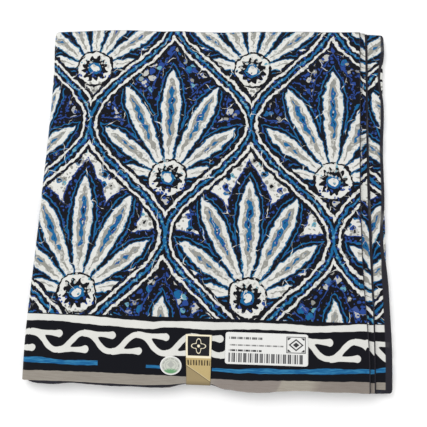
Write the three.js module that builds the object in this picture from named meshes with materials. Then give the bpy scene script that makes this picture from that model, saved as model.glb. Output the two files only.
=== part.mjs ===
// Wax print cloth, folded for the shelf.
// Six yards of printed cotton. The width is folded in three plies, then the length is halved four times, so
// that sixteen leaves of three plies lie on each other. The last fold is the spine on the left. On the right
// the leaves end in steps, because each one goes round the leaves inside it. Along the hem the printed
// selvedge of the front leaf lies on the folds below it, and a paper seal holds the packet shut there.
// Millimetres, +Z up. X runs along the hem, Y from the hem to the back folds.
// The origin is at the centre of the packet's foot.

import * as THREE from 'three';

// ---- Driving dimensions ----

const LEAVES = 16; // six yards halved four times: each leaf is 343 wide
const LEAF_STEP = 1; // three plies of cotton and the air between them
const PACKET_HEIGHT = LEAVES * LEAF_STEP;
const DEPTH = 385; // a third of the cloth's 46 in width, less what the folds take
const WALL = 1.2; // three plies of cotton pressed together
const GAP = 0.35; // between pieces that touch
const HEM_Y = -191.09; // where the hem of the front leaf lies in the part's own frame

const SPINE_DEPTH = 6.5; // how far the left spine rounds out past the flat leaves
const SPINE_FLAP = 8; // flat cloth past the spine, on the underside
const SEAM = 1; // from there to the edge of the back leaf, whose rims both round out
const LIP_RADIUS = 2.4; // round edge of the front leaf, on the right
const LIP_FOOT = 12.6; // height of that edge's lower end
const BACK_FOLD_DEPTH = 4.2; // how far the back leaf rounds out on the right
const BACK_FOLD_TOP = 8.6; // top of the back leaf, where it comes out on the right
const STRIP_START = 122; // x where the stepped leaves leave the inner folds
const SECOND_LEAF = { edge: 'second', top: 11.9, thickness: 1.5, hem: 0.6, back: 0 };
const THIRD_LEAF = { edge: 'third', top: 10.05, thickness: 1.1, hem: 1.4, back: 0.2 };
const STRIP_ROUND = 0.42; // share of a strip's thickness that its edge rounds out
const BACK_STRIP = { hem: 2.8, back: -1 }; // how far the back leaf's strip lies inside the outline
const BACK_RECESS = 1.3; // how far the lowest leaf lies inside the folds above it

const STICKER = 0.3; // thickness of the papers
const LABEL = { x: 60.5, y: 38, width: 82.6, depth: 31.3, corner: 2.5 };
const ROUND_SEAL = { x: -34.7, y: 18.7, across: 10.8, along: 9.2 };
const GOLD_SEAL = { left: -20.9, right: 5.4, start: 50, turnStart: 6, foot: 1, lean: 2.4, bend: 1.1, taut: 0.3 };

// Shares of the height that are pressed out along the hem, at the back and under the seal, and how far
// inwards that reaches.
const PRESSED = { hem: 0.085, back: 0.05, reach: 46, seal: 0.06, sealReach: 34, sealNear: 12, sealFar: 62 };

// Outline of the packet from above, by distance from the hem of the front leaf.
const SIDES = [
  { y: 0, spine: -186.3, front: 163.2, second: 168.0, third: 169.2, back: 186.3 },
  { y: 40, spine: -187.3, front: 162.8, second: 168.1, third: 169.2, back: 186.9 },
  { y: 75, spine: -186.9, front: 160.7, second: 167.7, third: 169.2, back: 185.9 },
  { y: 110, spine: -186.0, front: 158.5, second: 166.4, third: 168.6, back: 184.6 },
  { y: 148, spine: -185.1, front: 157.2, second: 165.2, third: 168.0, back: 181.5 },
  { y: 200, spine: -184.5, front: 156.5, second: 164.2, third: 167.0, back: 183.0 },
  { y: 250, spine: -183.6, front: 157.0, second: 164.0, third: 166.4, back: 182.6 },
  { y: 300, spine: -183.2, front: 157.9, second: 164.2, third: 166.4, back: 184.6 },
  { y: 335, spine: -183.5, front: 158.2, second: 164.4, third: 166.8, back: 182.3 },
  { y: 366, spine: -185.6, front: 158.5, second: 164.6, third: 167.0, back: 186.4 },
  { y: DEPTH, spine: -186.2, front: 158.8, second: 164.4, third: 167.0, back: 186.2 },
];

// Front and back edges, by x: the hem of the front leaf, the folds below it and the folds at the back.
const ENDS = [
  { x: -184, hem: -0.7, folds: 0.6, back: 382.2 },
  { x: -172, hem: -0.6, folds: -3.2, back: 383.2 },
  { x: -160, hem: -0.5, folds: -3.8, back: 383.6 },
  { x: -148, hem: -0.4, folds: -3.8, back: 384.3 },
  { x: -136, hem: -0.4, folds: -2.3, back: 385.2 },
  { x: -98, hem: -0.9, folds: -3.7, back: 386 },
  { x: -66, hem: -1.2, folds: -3.4, back: 384.9 },
  { x: -40, hem: -0.3, folds: -3.7, back: 385.4 },
  { x: -27, hem: 1, folds: -0.6, back: 384.6 },
  { x: -20, hem: 2, folds: 1.5, back: 384.2 },
  { x: 7, hem: 2, folds: 1.6, back: 384.2 },
  { x: 12, hem: 0.2, folds: -0.4, back: 384.2 },
  { x: 17, hem: -1.9, folds: -2.5, back: 384.4 },
  { x: 24, hem: -2.5, folds: -3.1, back: 384.8 },
  { x: 42, hem: -4.4, folds: -5, back: 385.5 },
  { x: 58, hem: -4.2, folds: -4.6, back: 385.4 },
  { x: 73, hem: -2.5, folds: -2.8, back: 385.7 },
  { x: 97, hem: -1.2, folds: -1.4, back: 386.2 },
  { x: 121, hem: -1.5, folds: -1.5, back: 385.9 },
  { x: 145, hem: -1.1, folds: -1.3, back: 386.1 },
  { x: 161, hem: -1.4, folds: -1.8, back: 386.2 },
  { x: 184, hem: -1.3, folds: -1.2, back: 385.2 },
];

// How far each hidden layer lies back from the outline at its front and back edge, from the lowest one up.
const LAYERS = [
  { front: 1.1, rear: 0.9 },
  { front: 0.3, rear: 1.6 },
  { front: 0.9, rear: 0.5 },
  { front: 0, rear: 1.1 },
  { front: 1.3, rear: 0.2 },
  { front: 0.5, rear: 1.4 },
  { front: 1.5, rear: 0.7 },
  { front: 0.6, rear: 0 },
  { front: 1.2, rear: 0.8 },
  { front: 0.2, rear: 1.7 },
  { front: 0.8, rear: 0.4 },
  { front: 1.6, rear: 1.2 },
  { front: 0.9, rear: 0.6 },
];

// Shares of the depth at which the walls have a row of points: close at the hem and at the back.
const DEPTH_STEPS = [0, 0.008, 0.03, 0.07, 0.13, 0.21, 0.31, 0.42, 0.53, 0.65, 0.77, 0.87, 0.94, 0.98, 1];
const WIDTH_STEPS = [0, 0.03, 0.09, 0.18, 0.28, 0.38, 0.44, 0.48, 0.52, 0.56, 0.62, 0.71, 0.81, 0.91, 0.97, 1];

// ---- Curves through the tables ----

/** Smooth curve through one column of a table, by the distance in its key column. */
function through(table, key, name, at) {
  const last = table.length - 1;
  if (at <= table[0][key]) return table[0][name];
  if (at >= table[last][key]) return table[last][name];
  const i = table.findIndex((row, k) => k < last && table[k + 1][key] >= at);
  const slope = (k) => {
    const before = table[Math.max(k - 1, 0)];
    const after = table[Math.min(k + 1, last)];
    return (after[name] - before[name]) / (after[key] - before[key]);
  };
  const run = table[i + 1][key] - table[i][key];
  const t = (at - table[i][key]) / run;
  const rise = t * t * (3 - 2 * t);
  const leave = t * (1 - t) * (1 - t) * run * slope(i);
  const arrive = t * t * (t - 1) * run * slope(i + 1);
  return (1 - rise) * table[i][name] + rise * table[i + 1][name] + leave + arrive;
}

const side = (name, y) => through(SIDES, 'y', name, y);
const end = (name, x) => through(ENDS, 'x', name, x);
const mix = (a, b, t) => a + (b - a) * t;

/** 0 below from, 1 above to, smooth between. */
function ease(from, to, at) {
  const t = THREE.MathUtils.clamp((at - from) / (to - from), 0, 1);
  return t * t * (3 - 2 * t);
}

/** How far a corner of this radius pulls the edge in, at a distance from the side. */
function corner(distance, radius) {
  if (distance >= radius) return 0;
  const run = radius - Math.max(distance, 0);
  return radius - Math.sqrt(radius * radius - run * run);
}

/** 1 at the edge, 0 from reach inwards, as a round shoulder. */
function shoulder(distance, reach) {
  const left = THREE.MathUtils.clamp(1 - distance / reach, 0, 1);
  return left * left;
}

/** The share of its height that the packet keeps: less along the hem and the back, least under the seal. */
function squeeze(x, y) {
  const fromSeal = Math.abs(x - (GOLD_SEAL.left + GOLD_SEAL.right) / 2);
  const hem = PRESSED.hem * shoulder(y, PRESSED.reach);
  const back = PRESSED.back * shoulder(DEPTH - y, PRESSED.reach);
  const acrossSeal = 1 - ease(PRESSED.sealNear, PRESSED.sealFar, fromSeal);
  const seal = PRESSED.seal * acrossSeal * shoulder(y, PRESSED.sealReach);
  return 1 - hem - back - seal;
}

/** A point of the packet: x, distance from the hem, and height in a packet that nothing squeezes. */
function place(x, y, level) {
  return new THREE.Vector3(x, y + HEM_Y, level * squeeze(x, y));
}

// ---- Closed solids from grids of points ----

function solidFrom(points, triangles) {
  const geometry = new THREE.BufferGeometry();
  geometry.setAttribute('position', new THREE.Float32BufferAttribute(points.flatMap((p) => p.toArray()), 3));
  geometry.setIndex(triangles);
  geometry.computeVertexNormals();
  return geometry;
}

/**
 * A wall between two grids of points with the same rows and columns: its outer face, its inner face and a rim
 * that rounds out by the given distance.
 */
function wall(outer, inner, rimRound) {
  const rows = outer.length;
  const columns = outer[0].length;
  const points = [...outer.flat(), ...inner.flat()];
  const triangles = [];
  const quad = (a, b, c, d) => triangles.push(a, c, b, a, d, c);
  const out = (i, j) => i * columns + j;
  const back = (i, j) => rows * columns + i * columns + j;
  for (let i = 0; i < rows - 1; i += 1) {
    for (let j = 0; j < columns - 1; j += 1) {
      quad(out(i, j), out(i + 1, j), out(i + 1, j + 1), out(i, j + 1));
      quad(back(i, j), back(i, j + 1), back(i + 1, j + 1), back(i + 1, j));
    }
  }
  const rim = [];
  for (let i = 0; i < rows; i += 1) rim.push([i, 0]);
  for (let j = 1; j < columns; j += 1) rim.push([rows - 1, j]);
  for (let i = rows - 2; i >= 0; i -= 1) rim.push([i, columns - 1]);
  for (let j = columns - 2; j > 0; j -= 1) rim.push([0, j]);
  const middle = rim.map(([i, j]) => {
    const inwardRow = THREE.MathUtils.clamp(i, 1, rows - 2);
    const inwardColumn = THREE.MathUtils.clamp(j, 1, columns - 2);
    const outward = outer[i][j].clone().sub(outer[inwardRow][inwardColumn]).normalize();
    return outer[i][j].clone().lerp(inner[i][j], 0.5).addScaledVector(outward, rimRound);
  });
  const first = points.length;
  points.push(...middle);
  rim.forEach(([i, j], k) => {
    const next = (k + 1) % rim.length;
    const [nextI, nextJ] = rim[next];
    quad(out(nextI, nextJ), out(i, j), first + k, first + next);
    quad(first + next, first + k, back(i, j), back(nextI, nextJ));
  });
  return solidFrom(points, triangles);
}

/** A thin paper on the front leaf, over a grid of plan points. */
function paper(plan) {
  const at = (lift) => plan.map((row) => row.map(([x, y]) => {
    const point = place(x, y, PACKET_HEIGHT);
    point.z += lift;
    return point;
  }));
  return wall(at(GAP + STICKER), at(GAP), 0);
}

// ---- The leaves that show ----

const LEAF_CORNER = 3; // radius of a leaf's corner, seen from above
const RIM_ROUND = 0.3; // how far a leaf's edge rounds out
const LIP_INSET = 0.6; // how far the round edge's ends draw in
const LIP_STEPS = 4;
const SPINE_STEPS = 10;
const BACK_FOLD_STEPS = 8;

/** Points of a leaf that bends in X and Z, from its section at each depth and its two edges. */
function leafGrid(section, hemAt, backAt) {
  return section.map((point) => DEPTH_STEPS.map((share) => {
    const { x, level, inset } = point(share * DEPTH);
    const hem = hemAt(x, level) + inset;
    const back = backAt(x, level) - inset;
    return place(x, mix(hem, back, share), level);
  }));
}

/** The front leaf: its round right edge, the printed panel on top and the spine round to the underside. */
function frontLeaf() {
  const face = (thickness) => {
    const section = [];
    const top = PACKET_HEIGHT - thickness;
    const lip = LIP_RADIUS - thickness;
    section.push((y) => ({ x: side('front', y) - thickness, level: LIP_FOOT, inset: LIP_INSET }));
    for (let k = 0; k <= LIP_STEPS; k += 1) {
      const turn = (k / LIP_STEPS) * (Math.PI / 2);
      section.push((y) => ({
        x: side('front', y) - LIP_RADIUS + lip * Math.cos(turn),
        level: PACKET_HEIGHT - LIP_RADIUS + lip * Math.sin(turn),
        inset: LIP_INSET * (1 - k / LIP_STEPS),
      }));
    }
    for (const share of WIDTH_STEPS.slice(1, -1)) {
      section.push((y) => ({
        x: mix(side('front', y) - LIP_RADIUS, side('spine', y) + SPINE_DEPTH, share),
        level: top,
        inset: 0,
      }));
    }
    for (let k = 0; k <= SPINE_STEPS; k += 1) {
      const turn = (k / SPINE_STEPS) * Math.PI;
      const reach = (SPINE_DEPTH - thickness) * Math.sin(turn);
      const distance = SPINE_DEPTH - reach - thickness;
      section.push((y) => ({
        x: side('spine', y) + SPINE_DEPTH - reach,
        level: PACKET_HEIGHT / 2 + (PACKET_HEIGHT / 2 - thickness) * Math.cos(turn),
        inset: corner(distance, LEAF_CORNER),
      }));
    }
    section.push((y) => ({ x: side('spine', y) + SPINE_DEPTH + SPINE_FLAP, level: thickness, inset: 0 }));
    return leafGrid(section, (x) => end('hem', x), (x) => end('back', x));
  };
  return wall(face(0), face(WALL), RIM_ROUND);
}

/** A leaf that shows as a strip on the right, below the front leaf. */
function stripLeaf({ edge, top, thickness, hem, back }) {
  const shares = [1, 0.92, 0.7, 0.35, 0];
  const plan = shares.map((share) => DEPTH_STEPS.map((depth) => {
    const x = mix(STRIP_START, side(edge, depth * DEPTH), share);
    return [x, mix(end('hem', x) + hem, end('back', x) - back, depth)];
  }));
  const face = (level) => plan.map((row) => row.map(([x, y]) => place(x, y, level)));
  return wall(face(top), face(top - thickness), thickness * STRIP_ROUND);
}

/** The back leaf: the flat underside, the round fold on the right and the strip where it comes out on top. */
function backLeaf() {
  const face = (thickness) => {
    const section = [];
    const middle = BACK_FOLD_TOP / 2;
    const stripTop = BACK_FOLD_TOP - thickness;
    for (const share of [0, 0.35, 0.7]) {
      section.push((y) => ({
        x: mix(STRIP_START, side('back', y) - BACK_FOLD_DEPTH, share),
        level: stripTop,
        inset: 0,
      }));
    }
    for (let k = 0; k <= BACK_FOLD_STEPS; k += 1) {
      const turn = (k / BACK_FOLD_STEPS) * Math.PI;
      const reach = (BACK_FOLD_DEPTH - thickness) * Math.sin(turn);
      const distance = BACK_FOLD_DEPTH - reach - thickness;
      section.push((y) => ({
        x: side('back', y) - BACK_FOLD_DEPTH + reach,
        level: middle + (middle - thickness) * Math.cos(turn),
        inset: corner(distance, LEAF_CORNER),
      }));
    }
    for (const share of WIDTH_STEPS.slice(1)) {
      section.push((y) => ({
        x: mix(side('back', y) - BACK_FOLD_DEPTH, side('spine', y) + SPINE_DEPTH + SPINE_FLAP + SEAM, share),
        level: thickness,
        inset: 0,
      }));
    }
    const hem = (x, level) => mix(end('folds', x) + BACK_RECESS, BACK_STRIP.hem, level / BACK_FOLD_TOP);
    const back = (x, level) => end('back', x) - mix(BACK_RECESS, BACK_STRIP.back, level / BACK_FOLD_TOP);
    return leafGrid(section.reverse(), hem, back);
  };
  return wall(face(0), face(WALL), RIM_ROUND);
}

// ---- The hidden layers ----

const GROOVE = 0.8; // depth of the groove between two layers, at the front and the back
const CORE_CORNER = 4;
const CORE_FOOT = WALL + GAP;
const CORE_TOP = PACKET_HEIGHT - WALL - GAP;
const CORE_PITCH = (CORE_TOP - CORE_FOOT) / LAYERS.length;
const CORE_MIDDLE = { x: -10, y: 192 };
const ACROSS_HALF = [0.004, 0.02, 0.06, 0.14, 0.24, 0.34, 0.4, 0.45];
const ACROSS = [...ACROSS_HALF, 0.49, 0.53, 0.56, 0.63, 0.73, 0.84, 0.93, 0.98, 0.996];
const SHELF = 0.2; // rise of the hidden layers' shelf under and over the stepped leaves
const LOWER_SHELF = BACK_FOLD_TOP - WALL - GAP;
const UPPER_SHELF = SECOND_LEAF.top + GAP / 2;

/** Where the hidden layers end on the left at this height, inside the spine. */
function coreLeft(y, level) {
  const half = PACKET_HEIGHT / 2;
  const rise = Math.min(Math.abs(level - half) / (half - WALL - GAP), 1);
  const reach = (SPINE_DEPTH - WALL - GAP) * Math.sqrt(1 - rise * rise);
  return side('spine', y) + SPINE_DEPTH - reach;
}

/** Where the hidden layers end on the right: in the back leaf's fold, at the strips, or in the front leaf. */
function coreRight(y, level) {
  const clear = WALL + GAP;
  if (level > UPPER_SHELF + SHELF / 2) {
    return side('front', y) - clear - LIP_RADIUS * ease(PACKET_HEIGHT - LIP_RADIUS, CORE_TOP, level);
  }
  if (level > LOWER_SHELF + SHELF / 2) return STRIP_START - GAP - SECOND_LEAF.thickness * STRIP_ROUND;
  const middle = BACK_FOLD_TOP / 2;
  const rise = Math.min(Math.abs(level - middle) / (middle - clear), 1);
  return side('back', y) - BACK_FOLD_DEPTH + (BACK_FOLD_DEPTH - clear) * Math.sqrt(1 - rise * rise);
}

/** One outline of the hidden layers, all round, shrunk towards its middle by share. */
function coreRing(level, front, rear, share = 1) {
  const edge = (y) => ({ left: coreLeft(y, level), right: coreRight(y, level) });
  const rounding = (x, { left, right }) => corner(Math.min(x - left, right - x), CORE_CORNER);
  const frontPoint = (x, ends) => end('folds', x) + front + rounding(x, ends);
  const rearPoint = (x, ends) => end('back', x) - rear - rounding(x, ends);
  const hem = edge(0);
  const back = edge(DEPTH);
  const alongFront = ACROSS.map((t) => mix(hem.left, hem.right, t)).map((x) => [x, frontPoint(x, hem)]);
  const alongBack = ACROSS.map((t) => mix(back.left, back.right, t)).map((x) => [x, rearPoint(x, back)]);
  const depths = DEPTH_STEPS.slice(2, -2);
  const sidePoints = (which) => depths.map((t) => {
    const x = edge(t * DEPTH)[which];
    return [x, mix(end('folds', x) + front, end('back', x) - rear, t)];
  });
  const plan = [
    ...alongFront,
    ...sidePoints('right'),
    ...alongBack.reverse(),
    ...sidePoints('left').reverse(),
  ];
  return plan.map(([x, y]) => place(mix(CORE_MIDDLE.x, x, share), mix(CORE_MIDDLE.y, y, share), level));
}

/** The heights at which the hidden layers have an outline: a groove and two bulges a layer, and shelves. */
function coreLevels() {
  const levels = [];
  LAYERS.forEach((layer, k) => {
    const foot = CORE_FOOT + k * CORE_PITCH;
    const below = LAYERS[Math.max(k - 1, 0)];
    const front = Math.max(layer.front, below.front) + GROOVE;
    const rear = Math.max(layer.rear, below.rear) + GROOVE;
    levels.push({ level: foot, front, rear });
    levels.push({ level: foot + CORE_PITCH * 0.3, front: layer.front, rear: layer.rear });
    levels.push({ level: foot + CORE_PITCH * 0.75, front: layer.front, rear: layer.rear });
  });
  for (const shelf of [LOWER_SHELF, UPPER_SHELF]) {
    const { front, rear } = LAYERS[Math.floor((shelf - CORE_FOOT) / CORE_PITCH)];
    for (const level of [shelf, shelf + SHELF]) {
      levels.push({ level, front: front + 2 * GROOVE, rear: rear + GROOVE });
    }
  }
  const last = LAYERS[LAYERS.length - 1];
  levels.push({ level: CORE_TOP, front: last.front + GROOVE, rear: last.rear + GROOVE });
  levels.sort((a, b) => a.level - b.level);
  return levels.filter((row, k) => k === 0 || row.level - levels[k - 1].level > 0.1);
}

/** The hidden leaves and plies as one rounded solid, with a groove between every two layers. */
function innerFolds() {
  const levels = coreLevels();
  const cap = ({ level, front, rear }, shares) => shares.map((share) => coreRing(level, front, rear, share));
  const shares = [0.3, 0.7, 0.88, 0.96];
  const rings = [
    ...cap(levels[0], shares),
    ...levels.map(({ level, front, rear }) => coreRing(level, front, rear)),
    ...cap(levels[levels.length - 1], [...shares].reverse()),
  ];
  const count = rings[0].length;
  const points = rings.flat();
  const triangles = [];
  for (let r = 0; r < rings.length - 1; r += 1) {
    for (let k = 0; k < count; k += 1) {
      const a = r * count + k;
      const b = r * count + ((k + 1) % count);
      triangles.push(a, b, b + count, a, b + count, a + count);
    }
  }
  const foot = points.length;
  for (const level of [CORE_FOOT, CORE_TOP]) points.push(place(CORE_MIDDLE.x, CORE_MIDDLE.y, level));
  const topRing = (rings.length - 1) * count;
  for (let k = 0; k < count; k += 1) {
    const next = (k + 1) % count;
    triangles.push(foot, next, k);
    triangles.push(foot + 1, topRing + k, topRing + next);
  }
  return solidFrom(points, triangles);
}

// ---- The papers stuck on the cloth ----

/** The plain label: a rounded rectangle that follows the panel. */
function paperLabel() {
  const { x, y, width, depth, corner: radius } = LABEL;
  const across = [1, 0.75, 0.5, 0.25, 0, -0.25, -0.5, -0.75, -1];
  const along = [-1, -0.95, -0.85, -0.5, 0, 0.5, 0.85, 0.95, 1];
  return paper(across.map((s) => along.map((t) => {
    const toEdge = (depth / 2) * (1 - Math.abs(t));
    const half = width / 2 - corner(toEdge, radius);
    return [x + s * half, y + (t * depth) / 2];
  })));
}

/** The round seal: a square grid drawn out to a slightly oval disc. */
function roundSeal() {
  const steps = [-1, -0.75, -0.5, -0.25, 0, 0.25, 0.5, 0.75, 1];
  const { x, y, across, along } = ROUND_SEAL;
  return paper([...steps].reverse().map((s) => steps.map((t) => {
    const round = { x: s * Math.sqrt(1 - (t * t) / 2), y: t * Math.sqrt(1 - (s * s) / 2) };
    return [x + across * round.x, y + along * round.y];
  })));
}

/** The gold seal: a strip down the panel, round the hem and down the front of the packet. */
function goldSeal() {
  const { left, right, start, turnStart, foot, lean, bend, taut } = GOLD_SEAL;
  const across = [1, 0.75, 0.5, 0.25, 0];
  const under = across.map((share) => mix(left, right, share));
  const edge = Math.min(...under.map((x) => Math.min(end('hem', x), end('folds', x)))) - GAP - taut;
  const face = (lift) => across.map((share) => {
    const row = [];
    const shift = (y) => lean * (1 - ease(0, start, y)) * (1 - share);
    const at = (y) => mix(left, right, share) + shift(y);
    for (const t of [0, 0.25, 0.5, 0.75]) {
      const y = mix(start, turnStart, t);
      const point = place(at(y), y, PACKET_HEIGHT);
      point.z += GAP + lift;
      row.push(point);
    }
    const crown = place(at(0), edge + bend, PACKET_HEIGHT).z + GAP;
    for (let k = 0; k <= LIP_STEPS; k += 1) {
      const turn = (k / LIP_STEPS) * (Math.PI / 2);
      const radius = bend + lift;
      const y = edge + bend - radius * Math.sin(turn);
      const z = crown - bend + radius * Math.cos(turn);
      row.push(new THREE.Vector3(at(0), y + HEM_Y, z));
    }
    for (const t of [0.5, 1]) {
      row.push(new THREE.Vector3(at(0), edge - lift + HEM_Y, mix(crown - bend, foot, t)));
    }
    return row.reverse();
  });
  return wall(face(STICKER), face(0), 0);
}

// ---- Finishes ----

function finish(color, roughness, metalness = 0) {
  return new THREE.MeshStandardMaterial({ color, roughness, metalness, side: THREE.DoubleSide });
}

const printedFront = () => finish('#2f3f66', 0.82);
const printedSide = () => finish('#4c5468', 0.84);
const printedUnder = () => finish('#33384a', 0.86);
const foldedCore = () => finish('#5b5b62', 0.88);
const whitePaper = () => finish('#ecebe6', 0.55);
const goldPaper = () => finish('#a3935c', 0.38, 0.35);
const sealPaper = () => finish('#dfe6dc', 0.5);

// ---- The packet ----

const pieces = [
  { name: 'front_leaf', geometry: frontLeaf(), material: printedFront() },
  { name: 'second_leaf', geometry: stripLeaf(SECOND_LEAF), material: printedSide() },
  { name: 'third_leaf', geometry: stripLeaf(THIRD_LEAF), material: printedSide() },
  { name: 'back_leaf', geometry: backLeaf(), material: printedUnder() },
  { name: 'inner_folds', geometry: innerFolds(), material: foldedCore() },
  { name: 'paper_label', geometry: paperLabel(), material: whitePaper() },
  { name: 'gold_seal', geometry: goldSeal(), material: goldPaper() },
  { name: 'round_seal', geometry: roundSeal(), material: sealPaper() },
];

const packet = new THREE.Group();
for (const { name, geometry, material } of pieces) {
  const mesh = new THREE.Mesh(geometry, material);
  mesh.name = name;
  packet.add(mesh);
}

export default packet;
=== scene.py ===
import math

import bpy
import numpy as np
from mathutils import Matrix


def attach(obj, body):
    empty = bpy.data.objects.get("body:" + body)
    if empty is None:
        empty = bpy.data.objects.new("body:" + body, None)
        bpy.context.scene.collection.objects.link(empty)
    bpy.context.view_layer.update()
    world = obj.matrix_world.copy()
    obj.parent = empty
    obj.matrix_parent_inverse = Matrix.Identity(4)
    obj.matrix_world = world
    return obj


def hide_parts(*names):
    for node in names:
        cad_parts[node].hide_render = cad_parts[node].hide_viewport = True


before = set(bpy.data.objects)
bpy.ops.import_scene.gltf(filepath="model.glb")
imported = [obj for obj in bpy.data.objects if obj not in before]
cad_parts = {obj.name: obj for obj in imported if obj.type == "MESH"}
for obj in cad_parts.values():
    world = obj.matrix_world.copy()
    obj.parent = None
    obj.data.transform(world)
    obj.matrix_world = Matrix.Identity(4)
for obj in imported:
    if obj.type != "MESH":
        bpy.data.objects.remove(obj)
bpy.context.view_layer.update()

# ---- The packet and its inner folds ----
# Six yards of wax printed cotton, 46 inches wide. The width is folded in three plies, then the length is
# halved four times, so sixteen leaves lie on each other. All but the outermost ply of them is this piece:
# one length of cloth, swept round its spines, whose raw selvedges and round folds show at the edges.

# Lengths are in millimetres: x from the packet's middle, y from the hem, and levels from the table top.
MM = 0.001
PACKET_HEIGHT = 16.0
DEPTH = 385.0
HEM_Y = -191.09  # the hem in the frame
CLOTH_WIDTH = 1168.0
PLY_STEP = 1 / 3
HALF_PLY = 0.11
SEAL_MIDDLE = -7.75  # x of the gold seal that holds the packet shut

# Where the spine and the edges of the leaves lie at several distances from the hem, and where the hem and the
# back folds lie at several places across.
SIDES = {
    "columns": ("y", "spine", "front", "second", "third", "back"),
    "rows": (
        (0, -186.3, 163.2, 168.0, 169.2, 186.3),
        (40, -187.3, 162.8, 168.1, 169.2, 186.9),
        (75, -186.9, 160.7, 167.7, 169.2, 185.9),
        (110, -186.0, 158.5, 166.4, 168.6, 184.6),
        (148, -185.1, 157.2, 165.2, 168.0, 181.5),
        (200, -184.5, 156.5, 164.2, 167.0, 183.0),
        (250, -183.6, 157.0, 164.0, 166.4, 182.6),
        (300, -183.2, 157.9, 164.2, 166.4, 184.6),
        (335, -183.5, 158.2, 164.4, 166.8, 182.3),
        (366, -185.6, 158.5, 164.6, 167.0, 186.4),
        (385, -186.2, 158.8, 164.4, 167.0, 186.2),
    ),
}

ENDS = {
    "columns": ("x", "hem", "folds", "back"),
    "rows": (
        (-184, -0.7, 0.6, 382.2),
        (-172, -0.6, -3.2, 383.2),
        (-160, -0.5, -3.8, 383.6),
        (-148, -0.4, -3.8, 384.3),
        (-136, -0.4, -2.3, 385.2),
        (-98, -0.9, -3.7, 386.0),
        (-66, -1.2, -3.4, 384.9),
        (-40, -0.3, -3.7, 385.4),
        (-27, 1.0, -0.6, 384.6),
        (-20, 2.0, 1.5, 384.2),
        (7, 2.0, 1.6, 384.2),
        (12, 0.2, -0.4, 384.2),
        (17, -1.9, -2.5, 384.4),
        (24, -2.5, -3.1, 384.8),
        (42, -4.4, -5.0, 385.5),
        (58, -4.2, -4.6, 385.4),
        (73, -2.5, -2.8, 385.7),
        (97, -1.2, -1.4, 386.2),
        (121, -1.5, -1.5, 385.9),
        (145, -1.1, -1.3, 386.1),
        (161, -1.4, -1.8, 386.2),
        (184, -1.3, -1.2, 385.2),
    ),
}


def through(table, name, at):
    """Smooth curve through one column of a table, by the distance in its first column."""
    rows = np.array(table["rows"], float)
    knots = rows[:, 0]
    values = rows[:, table["columns"].index(name)]
    after = np.minimum(np.arange(len(knots)) + 1, len(knots) - 1)
    before = np.maximum(np.arange(len(knots)) - 1, 0)
    slopes = (values[after] - values[before]) / (knots[after] - knots[before])
    at = np.clip(at, knots[0], knots[-1])
    i = np.clip(np.searchsorted(knots, at, side="right") - 1, 0, len(knots) - 2)
    run = knots[i + 1] - knots[i]
    t = (at - knots[i]) / run
    rise = t * t * (3 - 2 * t)
    leave = t * (1 - t) ** 2 * run * slopes[i]
    arrive = t * t * (t - 1) * run * slopes[i + 1]
    return (1 - rise) * values[i] + rise * values[i + 1] + leave + arrive


def side(name, y):
    return through(SIDES, name, y)


def end(name, x):
    return through(ENDS, name, x)


def mix(a, b, t):
    return a + (b - a) * t


def ease(start, stop, at):
    """0 below start, 1 above stop, smooth between."""
    t = np.clip((at - start) / (stop - start), 0, 1)
    return t * t * (3 - 2 * t)


def corner(distance, radius):
    """How far a corner of this radius pulls the edge in, at a distance from the side."""
    run = radius - np.clip(distance, 0, radius)
    return radius - np.sqrt(radius * radius - run * run)


def shoulder(distance, reach):
    return np.clip(1 - distance / reach, 0, 1) ** 2


SQUEEZE = {"hem": 0.085, "back": 0.05, "seal": 0.06}
SQUEEZE_REACH = {"edge": 46.0, "seal": 34.0, "beside_seal": (12.0, 62.0)}


def squeeze(x, y):
    """The share of its height that the packet keeps: less along hem and back, least under the gold seal."""
    hem = SQUEEZE["hem"] * shoulder(y, SQUEEZE_REACH["edge"])
    back = SQUEEZE["back"] * shoulder(DEPTH - y, SQUEEZE_REACH["edge"])
    beside = 1 - ease(*SQUEEZE_REACH["beside_seal"], np.abs(x - SEAL_MIDDLE))
    return 1 - hem - back - SQUEEZE["seal"] * beside * shoulder(y, SQUEEZE_REACH["seal"])


# Soft troughs (below zero) and ridges that the leaves share, from one end to the other.
CREASES = (
    {"start": (-12, 40), "stop": (-26, 118), "rise": -0.34, "width": 10},
    {"start": (14, 12), "stop": (74, 30), "rise": 0.36, "width": 9},
    {"start": (158, 150), "stop": (84, 166), "rise": -0.40, "width": 13},
    {"start": (152, 196), "stop": (60, 214), "rise": 0.26, "width": 17},
    {"start": (-174, 60), "stop": (-166, 170), "rise": 0.24, "width": 8},
    {"start": (-182, 232), "stop": (-96, 258), "rise": -0.32, "width": 14},
    {"start": (-150, 20), "stop": (-88, 38), "rise": -0.26, "width": 10},
    {"start": (-40, 384), "stop": (-16, 306), "rise": -0.30, "width": 12},
    {"start": (40, 316), "stop": (132, 352), "rise": 0.24, "width": 12},
    {"start": (96, 66), "stop": (154, 104), "rise": 0.28, "width": 11},
    {"start": (-120, 150), "stop": (-34, 176), "rise": 0.20, "width": 19},
    {"start": (-168, 372), "stop": (-112, 318), "rise": 0.26, "width": 10},
    {"start": (20, 120), "stop": (34, 262), "rise": -0.18, "width": 15},
)

CREASE_BOW = 0.05
CREASE_COMES = (-0.12, 0.3)  # the shares of its length over which a crease deepens, and over which it fades
CREASE_GOES = (0.6, 1.12)


def uneven_waves(seed, count, shortest, longest):
    """Waves of uneven direction, length and phase, the same on every run."""
    draw = np.random.default_rng(seed)
    return [
        {
            "turn": draw.uniform(0, math.pi),
            "length": draw.uniform(shortest, longest),
            "phase": draw.uniform(0, 2 * math.pi),
        }
        for _ in range(count)
    ]


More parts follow.
